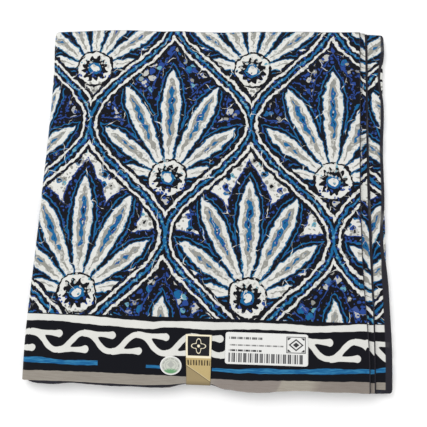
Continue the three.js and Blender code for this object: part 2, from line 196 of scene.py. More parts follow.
def heave(waves, steepness, x, y):
    """The height of some waves added up. Long ones stand higher."""
    total = 0
    for wave in waves:
        along = x * math.cos(wave["turn"]) + y * math.sin(wave["turn"])
        turned = 2 * math.pi * along / wave["length"] + wave["phase"]
        total = total + steepness * wave["length"] * np.sin(turned)
    return total


WAVES = uneven_waves(46, 16, 34, 150)
WAVE_STEEPNESS = 0.00042


def relief(x, y):
    """How far the top of the packet stands above or below flat, in millimetres."""
    total = np.zeros(np.broadcast(x, y).shape)
    for crease in CREASES:
        (x0, y0), (x1, y1) = crease["start"], crease["stop"]
        long = math.hypot(x1 - x0, y1 - y0)
        along = ((x - x0) * (x1 - x0) + (y - y0) * (y1 - y0)) / long**2
        bow = CREASE_BOW * long * np.sin(math.pi * np.clip(along, 0, 1))
        across = ((y - y0) * (x1 - x0) - (x - x0) * (y1 - y0)) / long - bow
        fade = ease(*CREASE_COMES, along) * (1 - ease(*CREASE_GOES, along))
        total = total + crease["rise"] * fade * np.exp(-((across / crease["width"]) ** 2))
    return total + heave(WAVES, WAVE_STEEPNESS, x, y)


def place(x, y, level):
    """Points in metres, from x, distance to the hem, and height in a packet that nothing squeezes."""
    height = level * squeeze(x, y) * (1 + relief(x, y) / PACKET_HEIGHT)
    return np.stack([x, y + HEM_Y, height], axis=-1) * MM


# The order in which the cloth runs through the leaves, counted from the top one.
FOLD_ORDER = (7, 8, 15, 0, 3, 12, 11, 4, 5, 10, 13, 2, 1, 14, 9, 6)
# The folds on the right: half the height of the outermost one, and how far it comes out past the flat leaf.
TURNS = {
    "front": {"leaves": (0, 1, 2, 3), "half": 2.0, "depth": 2.4},
    "second": {"leaves": (4, 5), "half": 1.0, "depth": 1.1},
    "third": {"leaves": (6, 7), "half": 1.0, "depth": 0.0},
    "back": {"leaves": (8, 9, 10, 11, 12, 13, 14, 15), "half": 4.0, "depth": 4.2},
}
SPINE_DEPTH = 6.5
SPLIT_LEAVES = (4, 5, 6, 8)  # leaves whose right end is part of a strip
STRIP_START = 122.0
BURIED_END = {"leaf": 7, "behind": 4.5}  # the cut end that lies further in than the one on show


def leaf_level(leaf):
    return PACKET_HEIGHT - leaf - 0.5


def turn_of(leaf):
    return next(name for name, turn in TURNS.items() if leaf in turn["leaves"])


def left_turn_x(y):
    return side("spine", y) + SPINE_DEPTH


def right_turn_x(name, leaf):
    """Where the flat leaf ends on the right, as a function of the distance to the hem."""
    back = BURIED_END["behind"] if leaf == BURIED_END["leaf"] else 0
    return lambda y: side(name, y) - TURNS[name]["depth"] - back


def station(x, level, x_per_ply, level_per_ply, leaf, outward=0.0):
    """One line across the cloth: its x by distance to the hem, its level, and how a ply's offset moves it."""
    return {
        "x": x,
        "level": level,
        "x_per_ply": x_per_ply,
        "level_per_ply": level_per_ply,
        "leaf": leaf,
        "edge": turn_of(leaf),
        "outward": outward,
    }


def leaf_stations(leaf, start, stop, shares):
    """Stations on a flat leaf, between two x functions."""
    up = 1 if leaf % 2 == 0 else -1
    made = []
    for share in shares:
        x = lambda y, share=share: mix(start(y), stop(y), share)
        made.append(station(x, leaf_level(leaf), 0.0, up, leaf))
    return made


def turn_stations(leaf, following, steps, first=0):
    """Stations round the spine on the left, or round a fold on the right, from one leaf to the following."""
    up = 1 if leaf % 2 == 0 else -1
    if leaf % 2:
        outward, ratio, centre = -1, SPINE_DEPTH / (PACKET_HEIGHT / 2), left_turn_x
    else:
        turn = TURNS[turn_of(leaf)]
        outward, ratio, centre = 1, turn["depth"] / turn["half"], right_turn_x(turn_of(leaf), leaf)
    middle = (leaf_level(leaf) + leaf_level(following)) / 2
    half = leaf_level(leaf) - middle
    made = []
    for k in range(first, steps + 1):
        angle = math.pi * k / steps
        reach = outward * ratio * math.sin(angle)
        made.append(
            station(
                lambda y, out=reach * abs(half): centre(y) + out,
                middle + half * math.cos(angle),
                reach * up * math.copysign(1, half),
                up * math.cos(angle),
                leaf if k < steps / 2 else following,
                reach * abs(half),
            )
        )
    return made


CROWDED = 0.6


def spaced(count):
    """Shares from 0 to 1, closer together towards both ends."""
    even = np.linspace(0, 1, count)
    return mix(even, 0.5 - 0.5 * np.cos(math.pi * even), CROWDED)


def strip_start(y):
    return STRIP_START + 0 * y


def crossing(station_list):
    """Length along the cloth of each station, in the middle of its depth."""
    middle = DEPTH / 2
    xs = np.array([float(s["x"](middle)) for s in station_list])
    levels = np.array([s["level"] for s in station_list])
    steps = np.hypot(np.diff(xs), np.diff(levels))
    return np.concatenate([[0], np.cumsum(steps)])


STATIONS = {"strip": 16, "leaf": 46, "least_turn": 8}


def whole_cloth():
    """The whole length of cloth as stretches of stations: flat leaves, split at the strips, and turns."""
    found = []
    for index, leaf in enumerate(FOLD_ORDER):
        ends = [left_turn_x, right_turn_x(turn_of(leaf), leaf)]
        if leaf in SPLIT_LEAVES:
            ends.insert(1, strip_start)
        if leaf % 2:
            ends.reverse()
        for start, stop in zip(ends, ends[1:]):
            strip = len(ends) == 3 and left_turn_x not in (start, stop)
            shares = spaced(STATIONS["strip" if strip else "leaf"])
            stations = leaf_stations(leaf, start, stop, shares)
            found.append({"leaf": leaf, "strip": strip, "turn": False, "stations": stations})
        if index + 1 < len(FOLD_ORDER):
            following = FOLD_ORDER[index + 1]
            steps = STATIONS["least_turn"] + int(abs(leaf_level(leaf) - leaf_level(following)))
            stations = turn_stations(leaf, following, steps)
            found.append({"leaf": leaf, "strip": False, "turn": True, "stations": stations})
    run = 0.0
    for stretch in found:
        along = crossing(stretch["stations"])
        for s, length in zip(stretch["stations"], along):
            s["along"] = run + length
        run += along[-1]
    front = next(s for s in found if s["leaf"] == 0 and not s["turn"])["stations"][0]
    shift = float(front["x"](DEPTH / 2)) - front["along"]
    for stretch in found:
        for s in stretch["stations"]:
            s["along"] += shift
    return found


stretches = whole_cloth()


def wander(along, lengths, phases):
    """A slow uneven sway, from about -1 to 1."""
    total = 0
    for length, phase in zip(lengths, phases):
        total = total + np.sin(2 * math.pi * along / length + phase)
    return total / len(lengths)


# How far each edge of a hidden leaf lies inside the packet's outline, and its sway along the cloth.
HIDDEN_EDGES = {
    "raw": (1.0, 0.9, (173, 67, 29), (1.1, 2.0, 0.4)),
    "fold": (0.75, 0.7, (211, 83, 37), (0.3, 4.0, 2.2)),
    "back_fold": (0.8, 0.75, (187, 71, 31), (5.1, 1.3, 3.0)),
    "far": (1.1, 1.0, (149, 59, 23), (2.6, 0.2, 5.5)),
}
HIDDEN_CORNER = 3.2


def hidden_lines(s):
    """Distances to the hem of the raw selvedge, the two folds and the far selvedge of a hidden leaf."""
    x_hem = float(s["x"](0))
    x_back = float(s["x"](DEPTH))
    rounding = []
    for x, y in ((x_hem, 0), (x_back, DEPTH)):
        reach = min(x - side("spine", y), side(s["edge"], y) - x)
        rounding.append(float(corner(reach, HIDDEN_CORNER)))
    inside = {}
    for name, (mean, sway, lengths, phases) in HIDDEN_EDGES.items():
        inside[name] = mean + sway * wander(s["along"], lengths, phases)
    front = float(end("folds", x_hem)) + rounding[0]
    back = float(end("back", x_back)) - rounding[1]
    return front + inside["raw"], front + inside["fold"], back - inside["back_fold"], back - inside["far"]


RAW, FOLD, BACK_FOLD, FAR = range(4)  # the places of these lines in what hidden_lines gives
NOSE = 0.36  # how far a fold rounds out
# Painted shade at the edges between the leaves, and on the cloth just behind them: how dark each is painted.
PAINTED_SHADES = {"raw": 0.42, "back": 0.5, "hem": 1.0, "behind_raw": 0.2, "behind_back": 0.3, "behind_hem": 0.8}
RAW_INSETS = (1.2, 5.0)
FOLD_INSETS = (1.4, 5.0)
RAW_RETURN = 7.0  # how far the hidden face of a raw edge is followed
RAW_BEVEL = 0.05


def point(share, inset, offset, near, far, cloth_v, edge):
    """One point across the cloth: a share of the way between two lines, moved in, and its ply's offset. Its
    edge value is the painted shade it gets; below zero it is painted highlight.
    """
    return {
        "share": share,
        "inset": inset,
        "offset": offset,
        "lines": (near, far),
        "v": cloth_v,
        "edge": edge,
    }


def nose_points(line_near, line_far, at_back, middle, half, cloth_v, steps=6):
    """A round fold, from the upper ply's outer face to the lower one's."""
    made = []
    for k in range(steps + 1):
        angle = math.pi * (k / steps - 0.5)
        inset = NOSE * (1 - math.cos(angle))
        offset = middle - half * math.sin(angle)
        v = cloth_v + (inset if k < steps / 2 else -inset) * (-1 if at_back else 1)
        if at_back:
            made.append(point(1.0, -inset, offset, line_near, line_far, v, PAINTED_SHADES["back"]))
        else:
            made.append(point(0.0, inset, offset, line_near, line_far, v, PAINTED_SHADES["hem"]))
    return made


def across_cloth(plies, inner_shares):
    """Points across the cloth: selvedge ply A, fold at the back, middle ply B, fold at the hem, far ply C."""
    top, low = PLY_STEP, -PLY_STEP
    half = PLY_STEP / 2 + HALF_PLY
    edge = ((RAW_RETURN, -HALF_PLY), (RAW_BEVEL, -HALF_PLY), (0.0, 0.0), (RAW_BEVEL, HALF_PLY))
    made = []
    if "A" in plies:
        for inset, offset in edge:
            made.append(point(0, inset, top + offset, RAW, BACK_FOLD, inset, PAINTED_SHADES["raw"]))
        for inset in RAW_INSETS:
            made.append(point(0, inset, top + HALF_PLY, RAW, BACK_FOLD, inset, PAINTED_SHADES["behind_raw"]))
        for share in inner_shares:
            made.append(point(share, 0, top + HALF_PLY, RAW, BACK_FOLD, share * DEPTH, 0.0))
        for inset in FOLD_INSETS[::-1]:
            v = DEPTH - inset
            made.append(point(1, -inset, top + HALF_PLY, RAW, BACK_FOLD, v, PAINTED_SHADES["behind_back"]))
        made += nose_points(RAW, BACK_FOLD, True, PLY_STEP / 2, half, DEPTH)
    for inset in FOLD_INSETS:
        made.append(point(1, -inset, -HALF_PLY, FOLD, BACK_FOLD, DEPTH + inset, PAINTED_SHADES["behind_back"]))
    for share in inner_shares[::-1]:
        drift = mix(HALF_PLY, -HALF_PLY, share)
        made.append(point(share, 0, drift, FOLD, BACK_FOLD, DEPTH * (2 - share), 0.0))
    for inset in FOLD_INSETS[::-1]:
        made.append(point(0, inset, HALF_PLY, FOLD, BACK_FOLD, 2 * DEPTH - inset, PAINTED_SHADES["behind_hem"]))
    made += nose_points(FOLD, FAR, False, -PLY_STEP / 2, half, 2 * DEPTH)
    for inset in FOLD_INSETS:
        made.append(point(0, inset, low - HALF_PLY, FOLD, FAR, 2 * DEPTH + inset, PAINTED_SHADES["behind_hem"]))
    for share in inner_shares:
        made.append(point(share, 0, low - HALF_PLY, FOLD, FAR, DEPTH * (2 + share), 0.0))
    for inset in RAW_INSETS[::-1]:
        made.append(point(1, -inset, low - HALF_PLY, FOLD, FAR, CLOTH_WIDTH - inset, PAINTED_SHADES["behind_raw"]))
    for inset, offset in edge[::-1]:
        made.append(point(1, -inset, low - offset, FOLD, FAR, CLOTH_WIDTH - inset, PAINTED_SHADES["raw"]))
    return made


LIFT = {"from": 160.0, "to": 175.0, "by": 0.075}  # how the big fold on the right rises towards its edge


def swept(station_list, profile, lines, bulge=None, by_place=False):
    """Grid of points along and across the cloth, with its flat coordinates and how much painted shade each
    gets; below zero it is painted highlight.

    The flat coordinate across the cloth is the one of the profile, or the distance to the hem with by_place.
    """
    share, inset, offset, v, edge = (
        np.array([p[name] for p in profile]) for name in ("share", "inset", "offset", "v", "edge")
    )
    near, far = np.array([p["lines"] for p in profile]).T
    nominal = np.clip(share * DEPTH + inset, 0, DEPTH)
    points, cloth = [], []
    for s in station_list:
        line = np.array(lines(s))
        x = s["x"](nominal) + s["x_per_ply"] * offset
        level = s["level"] + s["level_per_ply"] * offset
        if s["edge"] == "back":
            level = level * (1 + LIFT["by"] * ease(LIFT["from"], LIFT["to"], x))
        y = mix(line[near], line[far], share) + inset
        if bulge:
            level = level + bulge(x, y, s)
        points.append(place(x, y, level))
        u = s["x"](nominal) if s.get("flat_u") else np.full(len(v), s["along"])
        across = y if by_place else v
        dark = np.maximum(edge, s["dark"](x, nominal)) if "dark" in s else edge
        cloth.append(np.stack([u * MM, across * MM, dark], axis=-1))
    return np.array(points), np.array(cloth)


def grid_mesh(name, grids):
    """One object from grids of points. Its flat coordinates and its painted shade are kept in the attribute
    cloth.
    """
    points, cloth, faces = [], [], []
    first = 0
    for grid, flat in grids:
        rows, columns = grid.shape[:2]
        index = first + np.arange(rows * columns).reshape(rows, columns)
        quads = np.stack([index[:-1, :-1], index[:-1, 1:], index[1:, 1:], index[1:, :-1]], axis=-1)
        faces.append(quads.reshape(-1, 4))
        points.append(grid.reshape(-1, 3))
        cloth.append(flat.reshape(-1, 3))
        first += rows * columns
    mesh = bpy.data.meshes.new(name)
    mesh.from_pydata(np.concatenate(points).tolist(), [], np.concatenate(faces).tolist())
    kept = mesh.attributes.new("cloth", "FLOAT_VECTOR", "POINT")
    kept.data.foreach_set("vector", np.concatenate(cloth).astype(np.float32).ravel())
    mesh.shade_smooth()
    mesh.update()
    piece = bpy.data.objects.new(name, mesh)
    bpy.context.scene.collection.objects.link(piece)
    return piece


class Value:
    """A socket of a node tree. Arithmetic on it adds Math nodes to the tree."""

    def __init__(self, tree, socket=None):
        self.tree = tree
        self.socket = socket

    def node(self, kind, settings=None, inputs=None, output=0):
        """Adds a node. Its settings are set first, then the values or links of its sockets."""
        made = self.tree.nodes.new(kind)
        for name, setting in (settings or {}).items():
            if name == "stops":
                ramp = made.color_ramp
                while len(ramp.elements) < len(setting):
                    ramp.elements.new(0.5)
                for element, (at, colour) in zip(ramp.elements, setting):
                    element.position = at
                    element.color = colour
            else:
                setattr(made, name, setting)
        for name, given in (inputs or {}).items():
            if isinstance(given, Value):
                self.tree.links.new(given.socket, made.inputs[name])
            else:
                made.inputs[name].default_value = given
        return Value(self.tree, made.outputs[output])

    def math(self, operation, *others, clamp=False):
        values = dict(enumerate((self, *others)))
        return self.node("ShaderNodeMath", {"operation": operation, "use_clamp": clamp}, values)

    def vector(self, operation, inputs):
        return self.node("ShaderNodeVectorMath", {"operation": operation}, {0: self, **inputs})

    def __add__(self, other):
        return self.math("ADD", other)

    def __sub__(self, other):
        return self.math("SUBTRACT", other)

    def __rsub__(self, other):
        return self.node("ShaderNodeMath", {"operation": "SUBTRACT"}, {0: other, 1: self})

    def __mul__(self, other):
        return self.math("MULTIPLY", other)

    def __truediv__(self, other):
        return self.math("DIVIDE", other)

    def __rtruediv__(self, other):
        return self.node("ShaderNodeMath", {"operation": "DIVIDE"}, {0: other, 1: self})

    def __gt__(self, other):
        return self.math("GREATER_THAN", other)

    def __abs__(self):
        return self.math("ABSOLUTE")

    __radd__ = __add__
    __rmul__ = __mul__

    def wave(self, pitch):
        """Sine of a distance, one turn for each pitch."""
        return (self * (2 * math.pi / pitch)).math("SINE")

    def within(self, repeat):
        """The same distance, brought within half a repeat of zero."""
        return self.math("WRAP", repeat / 2, -repeat / 2)

    def part(self, index):
        """One coordinate of a vector."""
        return self.node("ShaderNodeSeparateXYZ", {}, {0: self}, index)

    def channel(self, index):
        """One channel of a colour."""
        return self.node("ShaderNodeSeparateColor", {}, {0: self}, index)

    def noise(self, scale, detail=2.0, output="Fac"):
        """Soft noise over a flat surface."""
        inputs = {"Vector": self, "Scale": scale, "Detail": detail}
        return self.node("ShaderNodeTexNoise", {"noise_dimensions": "2D"}, inputs, output)

    def cells(self, scale, uneven, output, feature="F1"):
        """Cells round uneven spots of a flat surface."""
        settings = {"voronoi_dimensions": "2D", "feature": feature}
        return self.node(
            "ShaderNodeTexVoronoi", settings, {"Vector": self, "Scale": scale, "Randomness": uneven}, output
        )

    def inside(self, soft=0.3):
        """1 where a distance in millimetres is above zero, with a narrow soft edge."""
        return self.math("MULTIPLY_ADD", 1 / soft, 0.5, clamp=True)

    def between(self, low, high, soft=0.3):
        """1 where a distance in millimetres lies between two others."""
        half = (high - low) / 2
        return (half - abs(self - (low + half))).inside(soft)

    def pick(self, no, yes):
        """One value where this mask is 0, and another where it is 1."""
        return self.node("ShaderNodeMix", {}, {0: self, 2: no, 3: yes})

    def over(self, below, above):
        """Lays one colour over another where this mask is 1."""
        return self.node("ShaderNodeMix", {"data_type": "RGBA"}, {0: self, 6: below, 7: above}, 2)


def hypotenuse(across, up):
    return (across * across + up * up).math("SQRT")


def new_material(name, fixed):
    """A material of one shader, with the fixed values of some of its sockets."""
    material = bpy.data.materials.new(name)
    material.use_nodes = True
    for socket, value in fixed.items():
        material.node_tree.nodes["Principled BSDF"].inputs[socket].default_value = value
    return material


def feed(material, values):
    """Links values to sockets of a material's shader."""
    shader = material.node_tree.nodes["Principled BSDF"]
    for socket, value in values.items():
        material.node_tree.links.new(value.socket, shader.inputs[socket])


def colour(red, green, blue):
    """A screen colour in 0 to 255, as the linear one that a shader takes."""
    linear = []
    for channel in (red / 255, green / 255, blue / 255):
        linear.append(channel / 12.92 if channel <= 0.04045 else ((channel + 0.055) / 1.055) ** 2.4)
    return (*linear, 1.0)


# Dyes of the print and the bare cloth, and last the colour of painted shade, which is no dye.
BLACK = colour(14, 15, 22)
OFF_WHITE = colour(219, 219, 214)
PALE_GREY = colour(186, 186, 181)
WARM_GREY = colour(146, 146, 140)
COBALT = colour(40, 70, 140)
MID_BLUE = colour(24, 98, 148)
TEAL = colour(100, 158, 176)
NAVY = colour(18, 32, 64)
# Painted shade between the leaves and on folds that turn away; on the back leaf's round side it also stands
# for dark print.
PAINTED_SHADE_COLOUR = colour(40, 39, 46)

CELL = {"width": 176.0, "depth": 250.0, "u": 40.0, "v": 150.0}  # one repeat, and the middle of a cell of it
NET_REACH = 10.4  # from the middle of a line of the net to its outer edge
# A petal turns about the fan's foot, swells from its root and closes over its last part to a point.
PETAL = {
    "foot": 62.0,
    "turn": 0.449,
    "outermost": 3.0,
    "length": 124.0,
    "shortened": 0.38,
    "root": 18.0,
    "blunt": 3.4,
    "swell": 0.142,
    "tip": 0.62,
}
WAVER = {"pitch": 0.52, "grown": 9.0}  # the uneven width of the rings, full at this depth inside a petal
# The round boss at the fan's foot: its outer rim, the teeth round it, its ring and its eye.
BOSS = {"half": 19.0, "rim": 2.4, "teeth": 12.0, "tooth": 2.0, "root": 5.2, "ring": 11.5, "eye": 14.5}

# Each ring of a petal: how far inside the petal's edge it starts, its dye, and the dye of its blots.
PETAL_RINGS = (
    (-14.6, COBALT, NAVY),
    (-13.2, BLACK, COBALT),
    (-6.0, MID_BLUE, COBALT),
    (-4.6, BLACK, NAVY),
    (-1.5, MID_BLUE, TEAL),
    (-0.5, OFF_WHITE, PALE_GREY),
    (3.5, WARM_GREY, PALE_GREY),
    (6.3, MID_BLUE, COBALT),
    (8.9, NAVY, PALE_GREY),
)
# The same for the lines of the net, by the distance inside its outer edge.
NET_RINGS = (
    (0.0, BLACK, NAVY),
    (3.6, OFF_WHITE, PALE_GREY),
    (6.2, BLACK, COBALT),
    (9.2, MID_BLUE, TEAL),
)

# Round blots at uneven spots: large ones on the ground, and small ones of another dye on the rings.
GROUND_BLOTS = {"scale": 0.105, "uneven": 0.9, "drawn": 0, "spread": 0.3, "least": 0.16, "steep": 9.5}
RING_BLOTS = {"scale": 0.24, "uneven": 1.0, "drawn": 1, "spread": 0.46, "least": -0.06, "steep": 4.2}
BLOT_HEART = 2.0
BLOT_DYES = (
    (0.0, WARM_GREY),
    (0.35, TEAL),
    (0.47, COBALT),
    (0.67, PALE_GREY),
    (0.87, MID_BLUE),
    (1.0, MID_BLUE),
)
DYE_BLEND = 0.01


def ringed(depth, paint, rings, dye):
    """Lays rings of dye one inside the other. dye is 1 for the plain rings and 2 for their blots."""
    for ring in rings:
        paint = (depth - ring[0]).inside().over(paint, ring[dye])
    return paint


def blots(drawn, kind):
    """How deep inside a blot a point lies, and the lot that was drawn for it."""
    far = drawn.cells(kind["scale"], kind["uneven"], "Distance")
    lot = drawn.cells(kind["scale"], kind["uneven"], "Color").channel(kind["drawn"])
    return (lot * kind["spread"] + kind["least"] - far) * kind["steep"], lot


def dyed_by_lot(lot, dyes):
    """One of some dyes, each from its own share of the lots on."""
    stops = []
    for (start, dye), (stop, _) in zip(dyes, dyes[1:]):
        stops += [(start + DYE_BLEND, dye), (stop - DYE_BLEND, dye)]
    return lot.node("ShaderNodeValToRGB", {"stops": stops}, {0: lot})


def field_print(drawn, u, v):
    """The main field: an ogee net in half drop, with a fan of lancet petals in every cell."""
    quarter = CELL["width"] / 4
    x = abs((u - CELL["u"]).within(CELL["width"]))
    y = (v - CELL["v"]).within(CELL["depth"])
    turned = y * (2 * math.pi / CELL["depth"])
    half_width = turned.math("COSINE") * quarter + quarter
    steep = turned.math("SINE") * (quarter * 2 * math.pi / CELL["depth"])
    signed = (x - half_width) / (steep * steep + 1).math("SQRT")
    other = signed > 0
    net = NET_REACH - abs(signed)
    across = other.pick(x, CELL["width"] / 2 - x)
    dropped = (v - CELL["v"] - CELL["depth"] / 2).within(CELL["depth"])
    up = other.pick(y, dropped) + PETAL["foot"]

    far = hypotenuse(across, up)
    turn = across.math("ARCTAN2", up)
    petal = (turn / PETAL["turn"]).math("ROUND").math("MINIMUM", PETAL["outermost"])
    lean = turn - petal * PETAL["turn"]
    length = (petal * PETAL["shortened"]).math("COSINE") * PETAL["length"]
    along = far * lean.math("COSINE")
    aside = abs(far * lean.math("SINE"))
    ripe = (along - PETAL["root"]).math("DIVIDE", length - PETAL["root"], clamp=True)
    fullness = 1 - ripe.math("POWER", PETAL["blunt"])
    beyond = (along - length).math("MAXIMUM", 0.0)
    depth = along * fullness * PETAL["swell"] - aside - beyond * PETAL["tip"]
    waver = (along * WAVER["pitch"]).math("SINE") * depth.math("DIVIDE", WAVER["grown"], clamp=True)
    depth = depth + waver

    spot, lot = blots(drawn, GROUND_BLOTS)
    dab = dyed_by_lot(lot, BLOT_DYES)
    ground = spot.inside().over(other.over(OFF_WHITE, BLACK), dab)
    ground = (spot - BLOT_HEART).inside().over(ground, other.over(BLACK, dab))
    boss = BOSS["half"] - far
    teeth = (turn * BOSS["teeth"]).math("COSINE") * BOSS["tooth"] + BOSS["root"]
    plain = ringed(depth, ground, PETAL_RINGS, 1)
    plain = (boss + BOSS["rim"]).inside().over(plain, BLACK)
    plain = boss.inside().over(plain, OFF_WHITE)
    plain = (boss - teeth).inside().over(plain, BLACK)
    plain = (boss - BOSS["ring"]).inside().over(plain, MID_BLUE)
    plain = (boss - BOSS["eye"]).inside().over(plain, OFF_WHITE)
    plain = ringed(net, plain, NET_RINGS, 1)
    blotted = ringed(depth, other.over(WARM_GREY, COBALT), PETAL_RINGS, 2)
    blotted = ringed(net, blotted, NET_RINGS, 2)
    crumb, _ = blots(drawn, RING_BLOTS)
    return crumb.inside().over(plain, blotted)


# The border as it sways along the selvedge, in millimetres from the hem: the top of the bare selvedge, both
# sides of the blue stripe, and the middle and width of the white stripe.
BORDER = {
    "columns": ("u", "selvedge", "low", "high", "stripe", "width"),
    "rows": (
        (-190, 9.3, 17.2, 22.0, 62.2, 6.8),
        (-181, 9.1, 16.9, 22.3, 62.1, 6.7),
        (-170, 9.3, 16.6, 23.0, 62.4, 6.4),
        (-157, 9.4, 17.5, 21.4, 62.5, 6.1),
        (-152, 9.4, 16.6, 20.8, 62.3, 6.4),
        (-141, 9.4, 16.0, 20.2, 61.8, 7.0),
        (-131, 9.5, 15.7, 20.7, 61.3, 7.6),
        (-110, 9.4, 16.3, 20.7, 60.3, 8.1),
        (-57, 8.8, 15.6, 18.6, 57.6, 7.4),
        (-37, 8.9, 15.5, 18.4, 59.5, 6.0),
        (4, 7.6, 15.2, 18.1, 58.9, 8.0),
        (19, 7.0, 14.2, 17.6, 59.4, 7.2),
        (27, 6.9, 13.4, 17.2, 59.8, 6.8),
        (45, 6.7, 14.2, 18.5, 60.2, 6.5),
        (59, 7.2, 13.8, 19.5, 60.3, 6.5),
        (80, 8.0, 14.6, 18.9, 60.2, 6.5),
        (100, 8.7, 15.3, 19.6, 58.9, 6.9),
        (114, 8.7, 15.0, 21.0, 59.3, 6.2),
        (126, 8.7, 15.8, 21.9, 60.0, 6.0),
        (137, 9.0, 16.7, 20.9, 60.7, 6.6),
        (154, 9.6, 17.6, 21.8, 62.3, 6.9),
        (164, 9.6, 18.3, 22.1, 62.4, 6.9),
        (174, 9.5, 20.3, 25.1, 62.3, 6.9),
        (190, 9.3, 17.2, 22.0, 62.2, 6.8),
    ),
}
BORDER_REPEAT = 380.0
BORDER_SCALE = 80.0  # more than any value in the table
FIELD_START = 66.6
RAMP_STOPS = 32  # as many as a colour ramp can hold
# Stretches without the blue stripe, and the fine streaks of the stripes.
BARE = ((-108.6, -59.8), (-24.5, 6.4))
STREAKS = {"along": 0.07, "across": 0.75, "least": 0.42, "steep": 4.5, "on_selvedge": 0.16}

# The scroll: a stem that winds about a middle line, with a rounded arm at every crest and trough.
SCROLL_REPEAT = 54.6
SCROLL_CREST = -125.2
SCROLL_MIDDLE = 39.0
SCROLL_RISE = 8.7
SCROLL_SPAN = 20.0
SCROLL_FALL = 30.0  # from a crest to the trough after it
SCROLL_LATE = 0.6  # how much the stem leaves its crests level
STEM_HALF = 2.85
CLUB = {"half": 2.3, "swell": 1.5, "late": 5.0, "joined": 4.2}
SCROLL_ARMS = (
    {"start": 0.0, "level": 8.9, "droop": -0.050, "long": 29.5},
    {"start": SCROLL_FALL, "level": -9.0, "droop": 0.060, "long": 27.0},
)

STRIPE_BLUE = colour(24, 92, 142)
STRIPE_LIGHT = colour(52, 126, 170)
SELVEDGE_SHADE = colour(112, 98, 88)

SELVEDGE_SLANT = 0.52
# Tones of the bare selvedge, by where each starts and stops.
SELVEDGE_TONES = (
    (-190, colour(148, 142, 133)),
    (2, colour(148, 142, 133)),
    (8, colour(141, 133, 127)),
    (71, colour(141, 133, 127)),
    (73, colour(162, 156, 145)),
    (102, colour(162, 156, 145)),
    (112, colour(137, 129, 122)),
    (160, colour(137, 129, 122)),
    (168, colour(148, 142, 133)),
)


def read_off(share, columns):
    """A ramp used as a table: some columns, read off by the share of the way along it."""
    even = np.linspace(0, 1, RAMP_STOPS)
    spare = [np.zeros(RAMP_STOPS)] * (3 - len(columns)) + [np.ones(RAMP_STOPS)]
    rows = np.transpose([*columns, *spare]).tolist()
    ramp = share.node("ShaderNodeValToRGB", {"stops": list(zip(even.tolist(), rows))}, {0: share})
    return [ramp.channel(index) for index in range(len(columns))]


def along_border(u, *names):
    """Up to three columns of the border's table, by the length along the cloth."""
    at = (np.linspace(0, 1, RAMP_STOPS) - 0.5) * BORDER_REPEAT
    columns = [through(BORDER, name, at) / BORDER_SCALE for name in names]
    share = u.within(BORDER_REPEAT) / BORDER_REPEAT + 0.5
    return [part * BORDER_SCALE for part in read_off(share, columns)]


def scroll_line(distance):
    """Height of the scroll's stem above its middle, at a distance after a crest."""
    fall = np.clip(distance / SCROLL_FALL, 0, 1)
    late = fall * fall * (3 - 2 * fall)
    climb = np.clip((distance - SCROLL_FALL) / (SCROLL_REPEAT - SCROLL_FALL), 0, 1)
    return SCROLL_RISE * np.cos(math.pi * (mix(fall, late, SCROLL_LATE) + climb))


def scroll_depth(u, height):
    """How far inside the running scroll a point lies."""
    at = np.linspace(0, 1, RAMP_STOPS) * SCROLL_REPEAT
    level = scroll_line(at)
    upright = 1 / np.sqrt(1 + np.gradient(level, at) ** 2)
    after = (u - SCROLL_CREST).math("WRAP", SCROLL_REPEAT, 0.0)
    stem, lean = read_off(after / SCROLL_REPEAT, [level / SCROLL_SPAN + 0.5, upright])
    shape = abs(height - (stem * SCROLL_SPAN - SCROLL_SPAN / 2)) * lean - STEM_HALF
    for arm in SCROLL_ARMS:
        run = (u - SCROLL_CREST - arm["start"]).math("WRAP", SCROLL_REPEAT, 0.0)
        foot = run.math("MINIMUM", arm["long"])
        club = (foot / arm["long"]).math("POWER", CLUB["late"]) * CLUB["swell"] + CLUB["half"]
        far = hypotenuse(height - foot * arm["droop"] - arm["level"], run - foot)
        shape = shape.math("SMOOTH_MIN", far - club, CLUB["joined"])
    return 0 - shape


def border_print(under, u, v):
    """The selvedge border: a white stripe, a running scroll, a blue stripe and the bare selvedge."""
    stretched = u.node("ShaderNodeCombineXYZ", {}, {0: u * STREAKS["along"], 1: v * STREAKS["across"]})
    streak = (stretched.noise(1.0) - STREAKS["least"]).math("MULTIPLY", STREAKS["steep"], clamp=True)
    paint = (FIELD_START - v).inside().over(under, BLACK)
    stripe, width = along_border(u, "stripe", "width")
    paint = (width / 2 - abs(v - stripe)).inside().over(paint, OFF_WHITE)
    paint = scroll_depth(u, v - SCROLL_MIDDLE).inside().over(paint, OFF_WHITE)
    low, high, selvedge = along_border(u, "low", "high", "selvedge")
    blue = ((high - low) / 2 - abs(v - (high + low) / 2)).inside()
    along = u.within(BORDER_REPEAT)
    for start, stop in BARE:
        blue = blue * (1 - along.between(start, stop))
    paint = blue.over(paint, streak.over(STRIPE_BLUE, STRIPE_LIGHT))
    patch = (u - v * SELVEDGE_SLANT).within(BORDER_REPEAT) / BORDER_REPEAT + 0.5
    stops = [(at / BORDER_REPEAT + 0.5, tone) for at, tone in SELVEDGE_TONES]
    tone = patch.node("ShaderNodeValToRGB", {"stops": stops}, {0: patch})
    tone = (streak * STREAKS["on_selvedge"]).over(tone, SELVEDGE_SHADE)
    return (selvedge - v).inside().over(paint, tone)


# The unevenness of drawn lines, as steps of the frequency and the reach of a soft noise.
FIELD_WOBBLE = ((0.075, 4.5), (0.2, 3.0))
BORDER_WOBBLE = ((0.11, 1.1),)
CRACKS = {"cells": 0.05, "patches": 0.09, "spread": 1.9, "bare": 1.0}  # the pale lines of the cracked wax
# How light the cloth is: even, with soft clouds and fine mottling, and a painted highlight along raw edges.
# Folds and the edges between leaves get painted shade, as dark as their stored amount says.
LIGHT = {"even": 0.76, "cloud": 0.14, "mottle": 0.18, "edge_highlight": 0.1}
CLOUDS = 0.03
MOTTLING = 1.1
PAINTED_SHADE_MASK = {"from": 0.25, "steep": 2.4, "cloud": 0.6, "even": 0.72}
WEAVE = {"pitch": 0.62, "height": 0.3, "slub": (0.9, 0.07, 1.0)}


